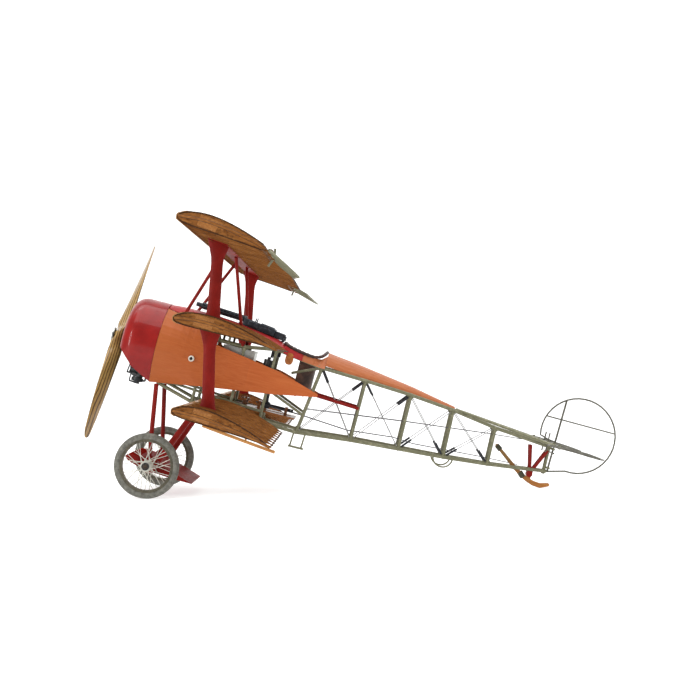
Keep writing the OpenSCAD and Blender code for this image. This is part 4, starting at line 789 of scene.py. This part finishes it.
pad = Stock()
pad.loft([[(SEAT_A + PAD_R * w * math.cos(t), PAD_R * w * math.sin(t), pad_height(h, w, t))
           for t in turns(96)] for h, w in PAD_RINGS])
seat_pad = pad.make("seat_pad", "airframe", "seat_leather", crease=80)

# ---- Studio ----

FLOOR_GLOW, WORLD_GLOW = 1.15, 0.4
FLOOR_HALF, FLOOR_FRONT, FLOOR_BACK, WALL_HIGH = 3.2, -2.6, 1.6, 2.6
BEND, BEND_STEPS = 0.7, 12


def studio_white():
    """Matt white with a glow of its own, so that it stays white behind the object."""
    f = Finish("studio_white")
    tone = f.blend(f.fit(f.noise(0.01), 0.3, 0.7), srgb(194, 194, 194), srgb(197, 197, 197))
    f.wire(tone, f.shader.inputs["Emission Color"])
    f.wire(FLOOR_GLOW, f.shader.inputs["Emission Strength"])
    return f.done(tone, 0.9, shine=0.1)


def cyclorama():
    """A floor that bends up into a back wall."""
    profile = [(FLOOR_FRONT, 0), (FLOOR_BACK - BEND, 0)]
    for k in range(1, BEND_STEPS + 1):
        t = math.radians(90 * k / BEND_STEPS)
        profile.append((FLOOR_BACK - BEND + BEND * math.sin(t), BEND - BEND * math.cos(t)))
    profile.append((FLOOR_BACK, WALL_HIGH))
    mesh = bpy.data.meshes.new("floor")
    points = [(x, y, z) for y, z in profile for x in (-FLOOR_HALF, FLOOR_HALF)]
    faces = [(2 * i, 2 * i + 1, 2 * i + 3, 2 * i + 2) for i in range(len(profile) - 1)]
    mesh.from_pydata(points, [], faces)
    mesh.polygons.foreach_set("use_smooth", [True] * len(faces))
    mesh.materials.append(studio_white())
    obj = bpy.data.objects.new("floor", mesh)
    bpy.context.scene.collection.objects.link(obj)


def softbox(name, place, aim, size, power):
    """A lamp of the given size in metres and power in watts, pointed at aim."""
    data = bpy.data.lights.new(name, "AREA")
    data.shape = "RECTANGLE"
    data.size, data.size_y = size
    data.energy = power
    lamp = bpy.data.objects.new(name, data)
    bpy.context.scene.collection.objects.link(lamp)
    lamp.location = place
    lamp.rotation_euler = (Vector(aim) - Vector(place)).to_track_quat("-Z", "Y").to_euler()


cyclorama()
softbox("overhead", (-0.1, -0.3, 1.25), (0, 0, 0.08), (1.3, 1.0), 12.5)
softbox("left_strip", (-0.95, -0.9, 0.4), (-0.1, 0, 0.1), (0.14, 0.7), 6)
softbox("right_fill", (1.1, -0.9, 0.55), (0, 0, 0.08), (0.8, 0.8), 4)
softbox("backdrop", (0, 0.45, 1.5), (0, 1.5, 0.5), (2.4, 0.8), 22)
world = bpy.data.worlds.new("studio")
world.use_nodes = True
sky = world.node_tree.nodes["Background"].inputs
sky["Color"].default_value, sky["Strength"].default_value = (1, 1, 1, 1), WORLD_GLOW
bpy.context.scene.world = world
bpy.context.scene.view_settings.view_transform = "Standard"

# Camera: square on from port, with the small roll that the photograph has
lens = bpy.data.cameras.new("camera")
lens.lens, lens.sensor_width = 64.57, 36
lens.shift_x, lens.shift_y = 0.0143, 0.0114
lens.clip_start, lens.clip_end = 0.05, 20
camera = bpy.data.objects.new("camera", lens)
bpy.context.scene.collection.objects.link(camera)
camera.location = (-0.0106, -0.9, 0.0946)
camera.rotation_euler = (math.radians(90), math.radians(0.63), 0)
bpy.context.scene.camera = camera
